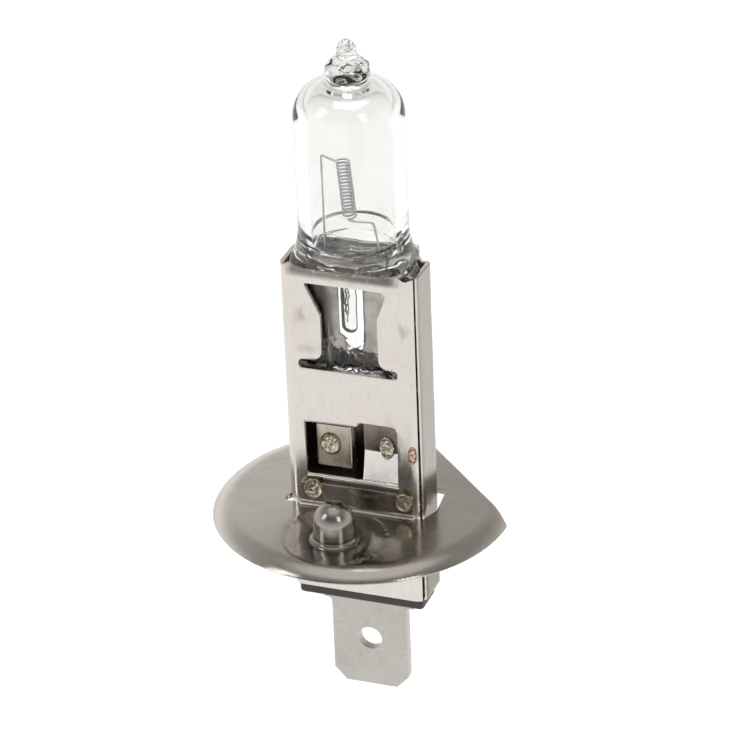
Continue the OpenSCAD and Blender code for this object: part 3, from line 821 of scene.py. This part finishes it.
def flange_opening():
    """The opening's outline in the blank, with both tabs standing into it."""
    length = TAB_BEND * math.pi / 2 + TAB_TOP - TAB_BEND
    front_root = FRONT_Y - TAB_BEND - FLANGE_SHEET
    back_root = BACK_Y + TAB_BEND + FLANGE_SHEET
    high = SLEEVE_MID_Y + OPENING_Y
    left, right = TAB_X
    slit = 0.1
    near = HALF_W + 0.05
    front_tip, front_foot = front_root + length, front_root + 0.02
    back_tip, back_foot = back_root - length, back_root - 0.02
    corners = [
        (-near, -1.1, 0.1), (-OPENING_X + 0.1, -1.4, 0.1), (-OPENING_X + 0.15, -2.1, 0.1),
        (left - slit, -2.1, 0.05),
        (left - slit, front_foot, 0.04), (left, front_foot, 0.03), (left, front_tip, 0.35),
        (right, front_tip, 0.35),
        (right, front_foot, 0.03), (right + slit, front_foot, 0.04), (right + slit, -2.0, 0.05),
        (near + 0.04, -2.0, 0.15),
        (OPENING_X + 0.35, -0.3, 0.3), (OPENING_X, high, 0.25), (right + slit, high, 0.05),
        (right + slit, back_foot, 0.04),
        (right, back_foot, 0.03), (right, back_tip, 0.35), (left, back_tip, 0.35), (left, back_foot, 0.03),
        (left - slit, back_foot, 0.04), (left - slit, high, 0.05), (-near, high, 0.2),
    ]
    return rounded(corners, steps=4)


def nub_rows(count):
    """Rings of the drawn nub from its foot to its crown, about the nub's axis."""
    radius, height, crown = NUB_R, FLANGE_HIGH[2], 1.55
    profile = arc((radius + NUB_FLARE, NUB_FLARE - 0.05), NUB_FLARE, 262, 180, 10)
    profile += [(radius - 0.015 * k, 0.55 + (height - crown - 0.6) * k / 4) for k in range(1, 5)]
    for t in np.radians(np.linspace(4, 88, 22)):
        profile.append(((radius - 0.06) * math.cos(t), height - crown + crown * math.sin(t)))
    rings = []
    for r, z in profile:
        rings.append([(NUB[0] + r * math.cos(t), NUB[1] + r * math.sin(t), z)
                      for t in 2 * math.pi * np.arange(count) / count])
    return rings, (NUB[0], NUB[1], height)


def build_flange():
    count, foot = 96, NUB_R + NUB_FLARE
    ring = [(NUB[0] + foot * math.cos(t), NUB[1] + foot * math.sin(t))
            for t in 2 * math.pi * np.arange(count) / count]
    border = flange_border()
    outlines = [resample(border, 0.5), resample(flange_opening(), 0.15), ring]
    lines = steps_between([(-12.2, 12.2, 0.3)])
    rows = steps_between([(-12.2, -4.4, 0.2), (-4.4, -2.7, 0.1), (-2.7, -1.5, 0.06), (-1.5, 1.7, 0.3),
                          (1.7, 3.1, 0.06), (3.1, 12.2, 0.3)])
    points, faces = flat_mesh(outlines, lines, rows)
    surface = [flange_point(x, y) for x, y in points]
    # the nub's rings are stitched to the hole's own rim points
    rim = [int(np.argmin(np.hypot(points[:, 0] - x, points[:, 1] - y))) for x, y in ring]
    faces = [tuple(int(i) for i in f) for f in faces]
    rings, crown = nub_rows(count)
    below = rim
    for row in rings:
        first = len(surface)
        surface += row
        here = list(range(first, first + count))
        faces += [(below[i], below[(i + 1) % count], here[(i + 1) % count], here[i]) for i in range(count)]
        below = here
    surface.append(crown)
    faces += [(below[i], below[(i + 1) % count], len(surface) - 1) for i in range(count)]
    mesh = bpy.data.meshes.new("scratch")
    mesh.from_pydata([tuple(p) for p in surface], [], faces)
    shape = bmesh.new()
    shape.from_mesh(mesh)
    bmesh.ops.recalc_face_normals(shape, faces=shape.faces)
    shape.faces.ensure_lookup_table()
    shape.to_mesh(mesh)
    shape.free()
    faces = [tuple(p.vertices) for p in mesh.polygons]
    flat = [p for p in mesh.polygons if p.center.x < -8 and abs(p.center.y) < 2]
    if sum(p.normal.z for p in flat) < 0:
        faces = [tuple(reversed(f)) for f in faces]
    bpy.data.meshes.remove(mesh)
    points, faces = thicken(surface, faces, FLANGE_SHEET)
    mesh_object("flange_plate", points, faces, MATERIALS["flange"], "flange_sheet", ["flange"], bevel=0.09,
                segments=3)


build_flange()

# ---------------------------------------------------------------- blade, insulator and live contact


def plate(outlines, y0, y1, spacing=0.4, wave=0.0):
    """An upright plate: outlines in X and Z, filled, from y0 at the front to y1 at the back."""
    outlines = [resample(o, spacing) for o in outlines]
    flat = np.array(outlines[0])
    columns = np.arange(flat[:, 0].min() + spacing / 2, flat[:, 0].max(), spacing)
    rows = np.arange(flat[:, 1].min() + spacing / 2, flat[:, 1].max(), spacing)
    points, faces = flat_mesh(outlines, columns, rows)
    front = [(x, y0 + wave * wander((x, 0, z), 0.5, 4), z) for x, z in points]
    faces = [tuple(f) for f in faces]
    a, b, c = (np.array(front[i]) for i in faces[0])
    if np.cross(b - a, c - a)[1] > 0:
        faces = [tuple(reversed(f)) for f in faces]
    return thicken(front, faces, y1 - y0)


def build_blade():
    half, end, wide = 3.15, BLADE_LOW[2], BLADE_HIGH[0]
    shoulder = -10.0
    outline = rounded([
        (-2.5, BLADE_HIGH[2], 0.1), (-2.5, -7, 0.1), (-wide, -7, 0.2), (-wide, shoulder, 0.25),
        (-half, shoulder, 0.35),
        (-half, end + 1.05, 0.25), (-half + 1.0, end, 0.2), (half - 1.0, end, 0.2), (half, end + 1.05, 0.25),
        (half, shoulder, 0.35), (wide, shoulder, 0.25), (wide, -7, 0.2), (2.5, -7, 0.1),
        (2.5, BLADE_HIGH[2], 0.1),
    ], steps=5)
    hole = arc((0, HOLE_Z), 1.0, 0, 352.5, 47)
    points, faces = plate([outline, hole], BLADE_LOW[1], BLADE_HIGH[1], wave=0.012)
    mesh_object("blade", points, faces, MATERIALS["blade"], "blade", ["blade_terminal"], bevel=0.08,
                segments=3)


def build_contact():
    front, rest, thick = STRIP_LOW[1], STRIP_HIGH[1], 0.4
    x0, x1, z0, z1 = STRIP_LOW[0], STRIP_HIGH[0], 2.84, STRIP_HIGH[2]
    bend = [(x1 - 0.3 + 0.3 * math.sin(t), front + 0.3 - 0.3 * math.cos(t))
            for t in np.linspace(0, math.pi / 2, 7)]
    outer = [(x0, front)] + bend + [(x1, rest - 0.25), (x1 - 0.25, rest), (x1 - 1.2, rest)]
    inner = [(x1 - 1.2, rest - thick), (x1 - thick, rest - thick), (x1 - thick, front + thick),
             (x0, front + thick)]
    path = resample(outer + inner, 0.25)
    rings = []
    for z in np.concatenate([[z0, z0 + 0.03], np.linspace(z0 + 0.1, z1 - 0.1, 12), [z1 - 0.03, z1]]):
        inset = 0.04 if z in (z0, z1) else 0.0
        rings.append([(x + (inset if x < x0 + 0.1 else 0), y + 0.015 * wander((x, 0, z), 0.7, 4), z) for x,
                      y in path])
    leg = plate([rounded([(x1 - 1.2, -6.5, 0.1), (x1 - 1.2, 3.2, 0.1), (x1, 3.2, 0.1), (x1, -6.5, 0.1)])],
                rest - thick, rest, 0.3)
    points, faces = join([stack(rings), leg])
    mesh_object("live_contact", points, faces, MATERIALS["contact"], "contact", ["contact_strip"], bevel=0.05)


def build_insulator():
    low, high = INSULATOR_LOW, INSULATOR_HIGH
    ring = rounded([(low[0], low[1], 0.35), (high[0], low[1], 0.35), (high[0], high[1], 0.35),
                    (low[0], high[1], 0.35)], 5)
    ring = resample(ring, 0.5)
    rings = []
    for z, inset in ((low[2], 0.16), (low[2] + 0.03, 0.07), (low[2] + 0.12, 0.01), (low[2] + 0.3, 0.0),
                     (-6, 0.0), (-3, 0.0), (high[2], 0.0)):
        middle = np.array((0, (low[1] + high[1]) / 2))
        scale = np.array(((high[0] - inset) / high[0], 1 - inset / (high[1] - middle[1])))
        rings.append([(*(middle + (np.array(p) - middle) * scale), z) for p in ring])
    points, faces = stack(rings)
    points = [(x + 0.012 * wander((x, y, z), 1.4, 1), y + 0.012 * wander((x, y, z), 1.4, 6), z) for x, y,
              z in points]
    mesh_object("insulator_block", points, faces, MATERIALS["insulator"], "insulator", ["insulator"],
                bevel=0.04)


build_blade()
build_contact()
build_insulator()

# ---------------------------------------------------------------- welds


def nugget(centre, wide, tall, turn=0.0, rise=0.13, seed=0):
    """A weld nugget facing -Y: a rolled ring round a rough, sunken middle. turn is about Z."""
    count, parts = 48, []
    profile = [(0, 0.35), (0.18, 0.5), (0.36, 0.3), (0.52, 0.55), (0.66, 0.42), (0.78, 0.95), (0.88, 1.0),
               (0.97, 0.5), (1.02, -0.2)]
    rings = []
    for r, h in profile[1:]:
        ring = []
        for t in 2 * math.pi * np.arange(count) / count:
            ragged = 1 + 0.05 * wander((math.cos(t) * 1.5, math.sin(t) * 1.5, r), 1.2, seed)
            if r < 0.75:
                rough = h + 0.55 * wander((math.cos(t) * r * 3, math.sin(t) * r * 3, 0), 1.6, seed + 4)
            else:
                rough = h + 0.1 * wander((math.cos(t) * 3, math.sin(t) * 3, r), 1, seed)
            ring.append((r * ragged * wide / 2 * math.cos(t), -rough * rise,
                         r * ragged * tall / 2 * math.sin(t)))
        rings.append(ring)
    points, faces = stack(rings)
    cos, sin = math.cos(turn), math.sin(turn)
    return [(centre[0] + x * cos - y * sin, centre[1] + x * sin + y * cos, centre[2] + z) for x, y,
            z in points], faces


def follow_tongue(part):
    """Bends a nugget round the tongue's bend."""
    slope = (FRONT_Y + 0.42 - TONGUE_Y) / (WINDOW_FOOT - TONGUE_BEND_Z)
    return [(x, y + slope * min(0.0, z - TONGUE_BEND_Z), z) for x, y, z in part[0]], part[1]


def build_welds():
    back = BACK_Y + TAB_OUT
    groups = {
        "flange_weld_nuggets": (["flange_welds"], [
            nugget(WELDS["tab_left"], 1.66, 1.9, seed=1), nugget(WELDS["tab_right"], 1.45, 1.7, seed=7),
            nugget((-3.28, back, 1.35), 1.6, 1.7, turn=math.pi, seed=3),
            nugget((4.15, back, 1.25), 1.5, 1.6, turn=math.pi, seed=5)]),
        "seam_weld_nugget": (["seam_weld"], [
            nugget((WELDS["seam"][0] - 0.12, FRONT_Y + 0.06, WELDS["seam"][2]), 0.72, 1.6, turn=0.32,
                   rise=0.07, seed=9)]),
        "live_lead_weld": (["contact_weld"], [nugget(WELDS["contact"], 1.75, 1.95, rise=0.16, seed=13)]),
        "earth_lead_weld": (["earth_weld"],
                            [follow_tongue(nugget(WELDS["earth"], 1.28, 1.95, rise=0.13, seed=17))]),
    }
    for name, (nodes, parts) in groups.items():
        points, faces = join(parts)
        mesh_object(name, points, faces, MATERIALS["weld"], "weld", nodes)


build_welds()

# ---------------------------------------------------------------- filament, leads and foils


def bent_path(corners, radius, steps=8):
    """A path through 3-D corners with each inner corner rounded."""
    corners = [np.array(c, float) for c in corners]
    path = [corners[0]]
    for before, here, after in zip(corners, corners[1:], corners[2:]):
        u, v = before - here, after - here
        reach = min(radius, 0.45 * np.linalg.norm(u), 0.45 * np.linalg.norm(v))
        a, b = here + u / np.linalg.norm(u) * reach, here + v / np.linalg.norm(v) * reach
        path += [(1 - t) ** 2 * a + 2 * t * (1 - t) * here + t * t * b for t in np.linspace(0, 1, steps)]
    path.append(corners[-1])
    dense = [path[0]]
    for a, b in zip(path, path[1:]):
        parts = max(1, math.ceil(np.linalg.norm(b - a) / 0.4))
        dense += [a + (b - a) * k / parts for k in range(1, parts + 1)]
    return dense


COIL_R = 0.49
COIL_TURNS = 17
COIL_FOOT = np.array((-0.1, 0.0, 24.72))
COIL_TOP = np.array((-0.53, 0.0, 29.4))


def coil_path():
    """The coil's helix, a little uneven, leaning to the left."""
    axis = COIL_TOP - COIL_FOOT
    unit = axis / np.linalg.norm(axis)
    side = np.cross((0, 1, 0), unit)
    path = []
    steps = COIL_TURNS * 26
    for i in range(steps + 1):
        t = i / steps
        angle = -math.pi / 2 + 2 * math.pi * COIL_TURNS * t
        shift = 0.02 * wander((t * 9, 0, 0), 1.0, 3)
        spoke = math.cos(angle) * side + math.sin(angle) * np.array((0, 1, 0))
        path.append(COIL_FOOT + axis * (t + shift * 0.12) + COIL_R * spoke)
    return path


def build_wires():
    coil = coil_path()
    mesh_object("coil", *tube(coil, 0.075, 10), MATERIALS["tungsten"], "tungsten", ["filament_coil"])
    top, foot = coil[-1], coil[0]
    long_lead = bent_path([(LEAD_X[0], 0, LEAD_FOOT_Z), (LEAD_X[0], 0, 22), (LEAD_X[0] - 0.02, 0, 29.6),
                           top - (0.35, 0, -0.08), top], 0.28)
    mesh_object("support_lead", *tube(long_lead, 0.085), MATERIALS["tungsten"], "tungsten", ["long_lead"])
    short_lead = bent_path([(LEAD_X[1], 0, LEAD_FOOT_Z), (LEAD_X[1], 0, 22), (1.74, 0, 24.47),
                            (0.35, -0.4, 24.55), foot], 0.3)
    mesh_object("low_lead", *tube(short_lead, 0.085), MATERIALS["tungsten"], "tungsten", ["short_lead"])


def build_foils():
    edges = {"left_foil": (-3.5, -1.15, -0.57, 14.7), "right_foil": (0.67, 3.2, 0.82, 15.2)}
    for node, (x0, x1, other, step) in edges.items():
        low, high = box_mm(node)
        z0, z1 = low[2], high[2]
        if node == "left_foil":
            outline = [(x0, z0, 0.05), (other, z0, 0.05), (other, step - 0.35, 0.1), (x1, step, 0.2),
                       (x1, z1, 0.05), (x0, z1, 0.05)]
        else:
            outline = [(x0, z0, 0.05), (x1, z0, 0.05), (x1, z1, 0.05), (other, z1, 0.05), (other, step, 0.5)]
        points, faces = plate([rounded(outline)], 0, 0.04, 0.2)
        points = [(x, y + 0.05 * wander((x, 0, z), 0.9, 2), z) for x, y, z in points]
        mesh_object(node + "_strip", points, faces, MATERIALS["molybdenum"], "molybdenum", [node])


def build_outer_leads():
    for name, node in (("left_pin", "left_outer_lead"), ("right_pin", "right_outer_lead")):
        low, high = box_mm(node)
        x = (low[0] + high[0]) / 2
        path = [(x, 0, z) for z in np.linspace(low[2], high[2], 30)]
        radii = [0.3 - 0.05 * smooth((0.5 - (p[2] - low[2])) / 0.5) - 0.22 * smooth((p[2] - 13.2) / 1.2)
                 for p in path]
        mesh_object(name, *tube(path, radii, 20), MATERIALS["molybdenum"], "molybdenum", [node])


build_wires()
build_foils()
build_outer_leads()

# ---------------------------------------------------------------- quartz capsule

TUBE_R = CAPSULE_HIGH[1]
BORE_R = TUBE_R - 1.0
CROWN_Z = 35.95
DOME_R = 2.9
PINCH_HALF_T = 1.1
TIP_Z = CAPSULE_HIGH[2]


def ring_at(z, half_x, half_y, power, count=240):
    """A closed ring, evenly stepped: an ellipse at power 2, squarer as the power grows."""
    t = 2 * math.pi * np.arange(2401) / 2400
    c, s = np.cos(t), np.sin(t)
    x = half_x * np.sign(c) * np.abs(c) ** (2 / power)
    y = half_y * np.sign(s) * np.abs(s) ** (2 / power)
    run = np.concatenate([[0], np.cumsum(np.hypot(np.diff(x), np.diff(y)))])
    marks = run[-1] * np.arange(count) / count
    return [[a, b, z] for a, b in zip(np.interp(marks, run, x), np.interp(marks, run, y))]


def shift_x(rings, amount=CAPSULE_X):
    return [[(p[0] + amount, p[1], p[2]) for p in ring] for ring in rings]


def capsule_section(z):
    """Half width, half depth and squareness of the outside below the dome."""
    flare = min(1.0, max(0.0, (23.9 - z) / 2.0))
    half_x = TUBE_R + 0.42 * flare ** 1.8
    half_x += (5.1 - half_x) * smooth((20.8 - z) / 0.5)
    rise = min(1.0, max(0.0, (z - 20.45) / 1.5))
    half_y = PINCH_HALF_T + (TUBE_R - PINCH_HALF_T) * math.sin(rise * math.pi / 2) ** 1.4
    return half_x, half_y, 2 + 7 * (1 - smooth(rise))


def outer_rings():
    rings = []
    heights = [
        *np.arange(CAPSULE_LOW[2] + 0.1, 15.0, 0.1), *np.arange(15.0, 20.4, 0.2),
        *np.arange(20.4, 23.2, 0.08), *np.arange(23.2, CROWN_Z - DOME_R, 0.5),
    ]
    for z in heights:
        ring = ring_at(z, *capsule_section(z))
        ripple = 0.1 * smooth((z - 20.3) / 0.5) * smooth((22.9 - z) / 0.9)
        flute = 0.02 * smooth((20.6 - z) / 0.5)
        crush = 0.2 * smooth((14.9 - z) / 0.7)
        for p in ring:
            push = ripple * wander((p[0], p[1], p[2] * 2.2), 1.1,
                                   4) + flute * wander((p[0] * 1.2, p[1], p[2] * 0.12), 1.0, 9)
            folds = 0.6 * wander((p[0] * 2.6, p[1], p[2] * 1.3), 1.0,
                                 12) + 0.45 * wander((p[0] * 6, p[1], p[2] * 3), 1.0, 14)
            push -= crush * (0.5 + folds)
            p[1] += push * (1 if p[1] > 0 else -1)
        rings.append(ring)
    dome = arc((TUBE_R - DOME_R, CROWN_Z - DOME_R), DOME_R, 0, 86, 22)
    rings += [ring_at(z, r, r, 2) for r, z in dome]
    tip = [
        (1.5, 0.03), (1.5, 0.12), (1.6, 0.22), (1.66, 0.4), (1.67, 0.75), (1.65, 1.1), (1.58, 1.35),
        (1.35, 1.6),
        (1.05, 1.8), (0.86, 1.95), (0.77, 2.2), (0.74, 2.45), (0.7, 2.7), (0.6, 2.92), (0.45, 3.08),
        (0.26, 3.17), (0.1, 3.21),
    ]
    tip = [(r, CROWN_Z + rise * (TIP_Z - CROWN_Z) / 3.23) for r, rise in tip]
    for r, z in tip:
        ring = ring_at(z, r, r, 2)
        knob = smooth((z - CROWN_Z - 0.3) / 0.3)
        for p in ring:
            t = math.atan2(p[1], p[0])
            lobes = 1 + knob * (0.045 * math.cos(3 * t + 0.6) + 0.035 * math.cos(5 * t - 1.1))
            lobes += knob * 0.05 * wander((math.cos(t), math.sin(t), z), 1.9, 21)
            p[0], p[1] = p[0] * lobes, p[1] * lobes
            skirt = knob * smooth((CROWN_Z + 1.2 - z) / 0.7)
            p[2] += (
                skirt * 0.16 * math.cos(3 * t + 2.2)
                + knob * (z < TIP_Z - 0.3) * 0.05 * wander((p[0], p[1], z), 2.2, 31)
            )
        rings.append(ring)
    return rings


def lumpy(points, amount, scale, seed):
    return [tuple(np.array(p) + amount * np.array([wander(p, scale, seed + k * 7) for k in range(3)]))
            for p in points]


def gas_space():
    """The inside surface: an oval floor over the pinch, a straight bore and the dome."""
    rings = []
    for t in np.radians(np.linspace(3, 90, 22)):
        reach = math.sin(t) ** 0.6
        rings.append(ring_at(22.1 - 0.32 * math.cos(t), BORE_R * reach, BORE_R * reach, 2))
    for z in np.arange(22.3, CROWN_Z - 2.8, 0.4):
        rings.append(ring_at(z, BORE_R, BORE_R, 2))
    top = CROWN_Z - 0.95
    crown = arc((BORE_R - 1.75, top - 1.75), 1.75, 0, 84, 20)
    crown += [(1.2, top + 0.03), (0.95, top + 0.07), (0.66, top + 0.16), (0.55, top + 0.32),
              (0.46, top + 0.5), (0.2, top + 0.6)]
    for r, z in crown:
        rings.append(ring_at(z, r, r, 2))
    for ring in rings:
        for p in ring:
            p[2] += 0.09 * smooth((22.3 - p[2]) / 0.3) * wander((p[0] * 0.8, p[1] * 1.6, 0), 1.2, 41)
    return stack(shift_x(rings))


def pocket():
    """The blind pocket in the clear glass between the foils, round at its foot."""
    low, radius, x = 14.75, 0.64, -0.34
    profile = [(radius * math.cos(t), low + radius + radius * math.sin(t))
               for t in np.radians(np.linspace(-86, 0, 12))]
    rings = []
    profile += [(radius, z) for z in np.linspace(low + radius + 0.2, 19.9, 24)] + [(0.4, 20.1), (0.1, 20.2)]
    for r, z in profile:
        ring = ring_at(z, r, r * 0.4, 3, 40)
        for p in ring:
            crinkle = smooth((z - 16.2) / 1.0) * 0.05
            p[0] += x + crinkle * wander((p[0] * 2, p[1] * 2, z * 1.3), 1.3, 51)
            p[1] += 0.1 + crinkle * wander((p[0] * 2, p[1] * 2, z * 1.3), 1.3, 57)
        rings.append(ring)
    return stack(rings)


def wrinkle():
    """A crinkled, collapsed thread of gas in front of the pocket."""
    path, radii = [], []
    for k, z in enumerate(np.linspace(15.9, 19.3, 80)):
        sway = 0.1 * wander((z * 3.1, 0, 0), 1.0, 71)
        path.append((-0.42 + 0.04 * (z - 15.9) + sway, -0.55 + 0.05 * wander((z * 2.7, 3, 0), 1.0, 73), z))
        radii.append((0.06 + 0.11 * smooth((z - 16.3) / 0.7)) * (1 + 0.45 * wander((z * 5, 9, 0), 1.0, 77)))
    return tube(path, radii, 12)


def tip_void():
    """The collapsed end of the exhaust bore, left inside the tip."""
    rings = []
    for r, z in [(0.1, 0.0), (0.42, 0.1), (0.5, 0.3), (0.42, 0.5), (0.24, 0.66), (0.16, 0.9), (0.1, 1.2),
                 (0.03, 1.3)]:
        ring = ring_at(CROWN_Z + 0.55 + z, r, r * 0.7, 2, 40)
        rings.append(lumpy(ring, 0.09, 2.6, 61))
    return stack(shift_x(rings))


def build_capsule():
    points, faces = stack(shift_x(outer_rings()))
    piece = mesh_object("capsule_glass", points, faces, MATERIALS["quartz"], "quartz", ["quartz_capsule"])
    for name, (hollow_points, hollow_faces) in (("gas", gas_space()), ("pocket", pocket()),
                                                ("wrinkle", wrinkle()), ("void", tip_void())):
        mesh = bpy.data.meshes.new(name)
        mesh.from_pydata([tuple(c * MM for c in p) for p in hollow_points], [], hollow_faces)
        shape = bmesh.new()
        shape.from_mesh(mesh)
        bmesh.ops.recalc_face_normals(shape, faces=shape.faces)
        bmesh.ops.reverse_faces(shape, faces=shape.faces)
        both = bmesh.new()
        both.from_mesh(piece.data)
        shape.to_mesh(mesh)
        both.from_mesh(mesh)
        both.to_mesh(piece.data)
        both.free()
        shape.free()
        bpy.data.meshes.remove(mesh)
    piece.data.polygons.foreach_set("use_smooth", [True] * len(piece.data.polygons))


build_capsule()

# ---------------------------------------------------------------- stage


def area_light(name, place, aim, size, radiance, colour=(1, 1, 1)):
    """A soft rectangular light of the given radiance, aimed at a point; lengths in metres."""
    data = bpy.data.lights.new(name, "AREA")
    data.shape = "RECTANGLE"
    data.size, data.size_y = size
    data.energy = radiance * math.pi * size[0] * size[1]
    data.color = colour
    light = bpy.data.objects.new(name, data)
    bpy.context.scene.collection.objects.link(light)
    direction = Vector(aim) - Vector(place)
    light.matrix_world = Matrix.Translation(place) @ direction.to_track_quat("-Z", "Y").to_matrix().to_4x4()
    return light


def levels(tree, value, stops):
    """A grey level along a value from -1 to 1."""
    span = tree.nodes.new("ShaderNodeMapRange")
    span.inputs["From Min"].default_value = -1.0
    tree.links.new(value, span.inputs["Value"])
    ramp = tree.nodes.new("ShaderNodeValToRGB")
    tree.links.new(span.outputs["Result"], ramp.inputs[0])
    marks = ramp.color_ramp.elements
    for _ in stops[2:]:
        marks.new(0.5)
    for mark, (place, level) in zip(marks, stops):
        mark.position = (place + 1) / 2
        mark.color = (level, level * 0.985, level * 0.965, 1)
    return ramp.outputs[0]


# grey levels of the world by the height of the direction, from -1 straight down to 1 straight up
TENT_LEVELS = [
    (-1, 1.0), (0.0, 1.0), (0.25, 0.95), (0.38, 0.78), (0.5, 0.62), (0.65, 0.46), (0.85, 0.42), (0.93, 1.0),
    (1.0, 1.0),
]
OPENING_LEVELS = [
    (-1, 1.0), (0.0, 0.95), (0.16, 0.75), (0.3, 0.36), (0.5, 0.2), (0.7, 0.22), (0.85, 0.4), (0.93, 1.0),
    (1.0, 1.0),
]


def build_stage():
    size, low = 1.5, (BLADE_LOW[2] - 40) * MM
    mesh = bpy.data.meshes.new("floor")
    mesh.from_pydata([(-size, -size, low), (size, -size, low), (size, size, low), (-size, size, low)], [],
                     [(0, 1, 2, 3)])
    floor = bpy.data.objects.new("floor", mesh)
    bpy.context.scene.collection.objects.link(floor)
    g = Graph("floor_paper")
    fibres = g.noise(0.8, detail=4)
    g.set(Base_Color=g.mix(fibres, (0.90, 0.90, 0.90, 1), (0.92, 0.92, 0.92, 1)), Roughness=0.85)
    mesh.materials.append(g.material)

    # a white tent behind and above the lamp, open and darker towards the front
    world = bpy.data.worlds.new("studio")
    bpy.context.scene.world = world
    world.use_nodes = True
    tree = world.node_tree
    coordinates = tree.nodes.new("ShaderNodeTexCoord")
    split = tree.nodes.new("ShaderNodeSeparateXYZ")
    tree.links.new(coordinates.outputs["Generated"], split.inputs[0])
    tent = levels(tree, split.outputs["Z"], TENT_LEVELS)
    opening = levels(tree, split.outputs["Z"], OPENING_LEVELS)
    towards = tree.nodes.new("ShaderNodeVectorMath")
    towards.operation = "DOT_PRODUCT"
    towards.inputs[1].default_value = (0.2, -0.98, 0)
    tree.links.new(coordinates.outputs["Generated"], towards.inputs[0])
    span = tree.nodes.new("ShaderNodeMapRange")
    span.interpolation_type = "SMOOTHSTEP"
    span.inputs["From Min"].default_value = -0.2
    span.inputs["From Max"].default_value = 0.45
    tree.links.new(towards.outputs["Value"], span.inputs["Value"])
    blend = tree.nodes.new("ShaderNodeMix")
    blend.data_type = "RGBA"
    tree.links.new(span.outputs["Result"], blend.inputs[0])
    tree.links.new(tent, blend.inputs[6])
    tree.links.new(opening, blend.inputs[7])
    tree.links.new(blend.outputs[2], tree.nodes["Background"].inputs["Color"])

    # the overhead light is for the paper; it is hidden from glossy rays, so the metal does not mirror it
    overhead = area_light("overhead", (0, 0.05, 0.6), (0, 0, 0), (0.5, 0.5), 4.4)
    overhead.visible_glossy = False
    area_light("left_window", (-0.4, -0.32, 0.36), (0, 0, 0.01), (0.16, 0.3), 3.0)
    area_light("right_window", (0.42, -0.3, 0.34), (0, 0, 0.01), (0.14, 0.3), 3.0)
    bpy.context.scene.view_settings.view_transform = "Standard"


build_stage()
